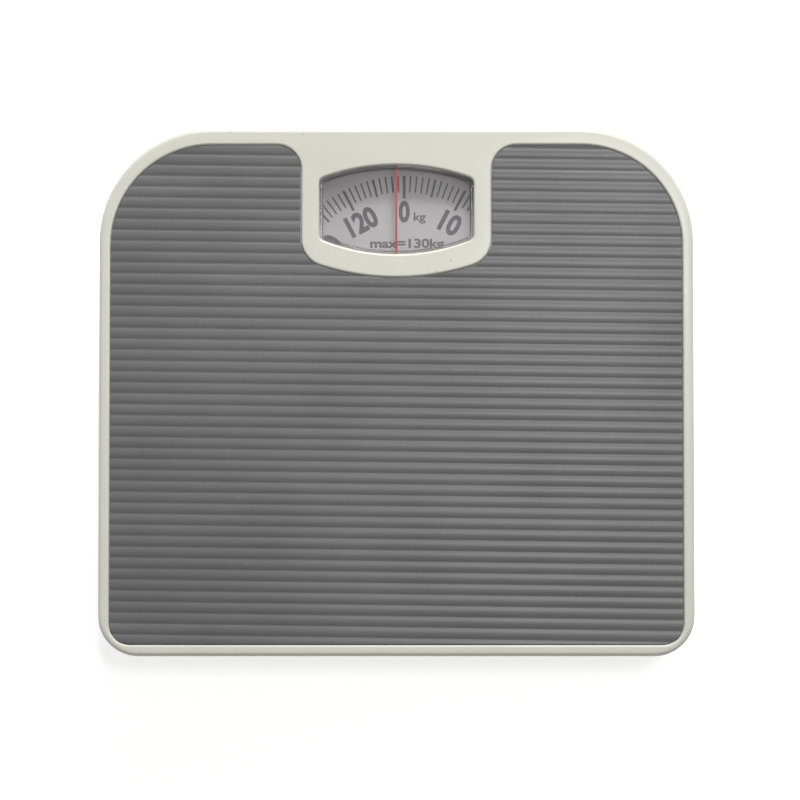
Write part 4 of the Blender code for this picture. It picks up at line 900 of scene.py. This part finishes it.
def ring_of(name, width, inner, outer, thickness, count):
    """Radial marks round the dial: one mark, repeated by an array that turns about the dial's middle."""
    middle = Vector((DIAL_MIDDLE.x, DIAL_MIDDLE.y, 0))
    bpy.ops.mesh.primitive_cube_add(size=1, location=(0, (inner + outer) / 2, DIAL_HIGH.z + thickness / 2),
                                    scale=(width, outer - inner, thickness))
    marks = named(name)
    settle()
    edit(marks)
    pick_edges(marks, level(DIAL_HIGH.z + thickness))
    bpy.ops.mesh.bevel(offset=thickness / 3, segments=1, affect="EDGES")
    leave()
    turn = bpy.data.objects.new("mark_turn", None)
    bpy.context.scene.collection.objects.link(turn)
    turn.rotation_euler = (0, 0, -2 * math.pi / count)
    modify(marks, "ARRAY", count=count, use_relative_offset=False, use_object_offset=True,
           offset_object=turn)
    only(turn)
    bpy.ops.object.delete()
    only(marks)
    bpy.ops.transform.translate(value=middle)
    settle()
    return marks


def letter(name, text, width, height, side, foot, turn, bold):
    """Flat printed text of a width and height, its foot at a radius, turned about the dial's middle."""
    bpy.ops.object.text_add(location=(0, 0, 0))
    piece = named(name)
    piece.data.body = text
    piece.data.align_x = "CENTER"
    piece.data.size = 1
    piece.data.offset = bold
    piece.data.extrude = 0.02
    piece.data.resolution_u = 4
    piece.data.space_character = 0.97
    only(piece)
    bpy.ops.object.convert(target="MESH")
    piece = bpy.context.object
    edit(piece, "VERT")
    bpy.ops.mesh.select_all(action="SELECT")
    bpy.ops.mesh.remove_doubles(threshold=CLOSE)
    leave()
    left = min(corner.co.x for corner in piece.data.vertices)
    right = max(corner.co.x for corner in piece.data.vertices)
    tall = max(corner.co.y for corner in piece.data.vertices)
    piece.scale = (width / (right - left), height / tall, 1 * MM)
    settle()
    piece.location = (side, foot, DIAL_HIGH.z + PRINT_LIFT)
    settle()
    middle = Matrix.Translation((DIAL_MIDDLE.x, DIAL_MIDDLE.y, 0))
    piece.matrix_world = middle @ Matrix.Rotation(turn, 4, "Z")
    settle()
    return piece


class SCALE_OT_dial(bpy.types.Operator):
    """Make the dial's plate and print its ticks, numbers and capacity"""

    bl_idname = "bathroom_scale.dial"
    bl_label = "Dial"

    def execute(self, context):
        s = sizes()
        radius = (DIAL_HIGH.x - DIAL_LOW.x) / 2
        thickness = DIAL_HIGH.z - DIAL_LOW.z
        place = (DIAL_MIDDLE.x, DIAL_MIDDLE.y, DIAL_HIGH.z)
        bpy.ops.mesh.primitive_circle_add(vertices=DIAL_STEPS, radius=radius, location=place)
        plate = named("dial_plate")
        settle()
        bpy.ops.mesh.primitive_circle_add(vertices=DIAL_STEPS, radius=DIAL_HOLE_RADIUS, location=place)
        hole = named("dial_hole")
        settle()
        only(plate, hole)
        bpy.ops.object.join()
        edit(plate)
        bpy.ops.mesh.select_all(action="SELECT")
        bpy.ops.mesh.bridge_edge_loops()
        leave()
        face_up(plate)
        modify(plate, "SOLIDIFY", thickness=thickness, offset=-1)
        modify(plate, "BEVEL", width=0.2 * MM, segments=3, limit_method="ANGLE")
        smooth(plate)
        paint(plate, "dial_face")
        place_piece(plate, "dial", "dial_plastic", "dial_disc")

        kilos = CAPACITY_KILOS
        rings = [ring_of(name, width, s.tick_outer - reach, s.tick_outer, thick, kilos // every)
                 for name, width, reach, thick, every in TICKS]
        only(*rings)
        bpy.ops.object.join()
        ticks = rings[0]
        paint(ticks, "dial_ink")
        place_piece(ticks, "dial", "dial_plastic")

        texts = []
        for kilo in range(0, kilos, 10):
            turn = -2 * math.pi * kilo / kilos
            text = str(kilo)
            width = NUMBER_WIDTHS[len(text)]
            texts.append(letter("number_" + text, text, width, s.number_height, 0, s.number_low, turn, 0.04))
        texts.append(letter("unit", "kg", 5.4 * MM, 3.7 * MM, 6.8 * MM, s.number_low + 0.3 * MM, 0, 0.02))
        texts.append(letter("capacity", "max=130kg", 33.4 * MM, 4.1 * MM, 1.1 * MM, s.capacity_low, 0, 0.03))
        only(*texts)
        bpy.ops.object.join()
        numbers = named("dial_numbers")
        paint(numbers, "dial_ink")
        place_piece(numbers, "dial", "dial_plastic")
        return {"FINISHED"}


# ---------------------------------------------------------------------------------------------------------
# Stage


def soft_lamp(name, place, target, size, power):
    bpy.ops.object.light_add(type="AREA", location=place)
    lamp = named(name)
    lamp.data.shape = "DISK"
    lamp.data.size = size
    lamp.data.energy = power
    lamp.rotation_euler = (Vector(target) - Vector(place)).to_track_quat("-Z", "Y").to_euler()


class SCALE_OT_stage(bpy.types.Operator):
    """Lay the floor and set the lamps, the world and the camera"""

    bl_idname = "bathroom_scale.stage"
    bl_label = "Stage"

    def execute(self, context):
        bpy.ops.mesh.primitive_plane_add(size=FLOOR_SIZE, location=(0, 0, 0))
        floor = named("floor")
        _, tree, shader = new_finish("pale_floor")
        shader.inputs["Base Color"].default_value = (0.86, 0.86, 0.86, 1)
        shader.inputs["Roughness"].default_value = 0.9
        shader.inputs["Emission Color"].default_value = (1, 1, 1, 1)
        path = add_node(tree, "ShaderNodeLightPath")
        seen = add_node(tree, "ShaderNodeMath", {0: path.outputs["Is Camera Ray"],
                                                 1: path.outputs["Is Glossy Ray"]}, operation="MAXIMUM")
        seen = add_node(tree, "ShaderNodeMath", {0: seen.outputs[0], 1: path.outputs["Is Transmission Ray"]},
                        operation="MAXIMUM")
        tree.links.new(ramp(tree, seen.outputs[0], 0, FLOOR_GLOW), shader.inputs["Emission Strength"])
        side = add_node(tree, "ShaderNodeNewGeometry")
        tree.links.new(ramp(tree, side.outputs["Backfacing"], 1, 0), shader.inputs["Alpha"])
        paint(floor, "pale_floor")

        scene = context.scene
        world = bpy.data.worlds.new("studio")
        scene.world = world
        world.use_nodes = True
        tree = world.node_tree
        background = tree.nodes["Background"]
        background.inputs["Color"].default_value = (1, 1, 1, 1)
        path = add_node(tree, "ShaderNodeLightPath")
        tree.links.new(ramp(tree, path.outputs["Is Camera Ray"], WORLD_LIGHT, 1), background.inputs["Strength"])

        for name, place, size, power in LAMPS:
            soft_lamp(name, place, (0, 0, TOP), size, power)

        bpy.ops.object.camera_add(location=CAMERA_PLACE)
        camera = named("camera")
        camera.rotation_euler = (Vector(CAMERA_TARGET) - camera.location).to_track_quat("-Z", "Y").to_euler()
        camera.data.lens = CAMERA_LENS
        camera.data.sensor_width = 36
        camera.data.clip_start = 0.05
        scene.camera = camera
        scene.view_settings.view_transform = "Standard"
        return {"FINISHED"}


# ---------------------------------------------------------------------------------------------------------
# Panel and registration

PIECES = (SCALE_OT_finishes, SCALE_OT_cover, SCALE_OT_mat, SCALE_OT_window, SCALE_OT_dial, SCALE_OT_stage)


class SCALE_PT_panel(bpy.types.Panel):
    """Lists the scale's pieces and their sizes"""

    bl_idname = "SCALE_PT_panel"
    bl_label = "Bathroom Scale"
    bl_space_type = "VIEW_3D"
    bl_region_type = "UI"
    bl_category = "Bathroom Scale"

    def draw(self, context):
        for piece in PIECES:
            self.layout.operator(piece.bl_idname)
        for group in (context.scene.scale_sizes, context.scene.scale_colours):
            for name in group.__annotations__:
                self.layout.prop(group, name)


CLASSES = (ScaleSizes, ScaleColours) + PIECES + (SCALE_PT_panel,)


def register():
    for item in CLASSES:
        bpy.utils.register_class(item)
    bpy.types.Scene.scale_sizes = bpy.props.PointerProperty(type=ScaleSizes)
    bpy.types.Scene.scale_colours = bpy.props.PointerProperty(type=ScaleColours)


def unregister():
    del bpy.types.Scene.scale_colours
    del bpy.types.Scene.scale_sizes
    for item in reversed(CLASSES):
        bpy.utils.unregister_class(item)


def main():
    register()
    bpy.ops.bathroom_scale.finishes()
    bpy.ops.bathroom_scale.cover()
    bpy.ops.bathroom_scale.mat()
    bpy.ops.bathroom_scale.window()
    bpy.ops.bathroom_scale.dial()
    bpy.ops.bathroom_scale.stage()


if __name__ == "__main__":
    main()
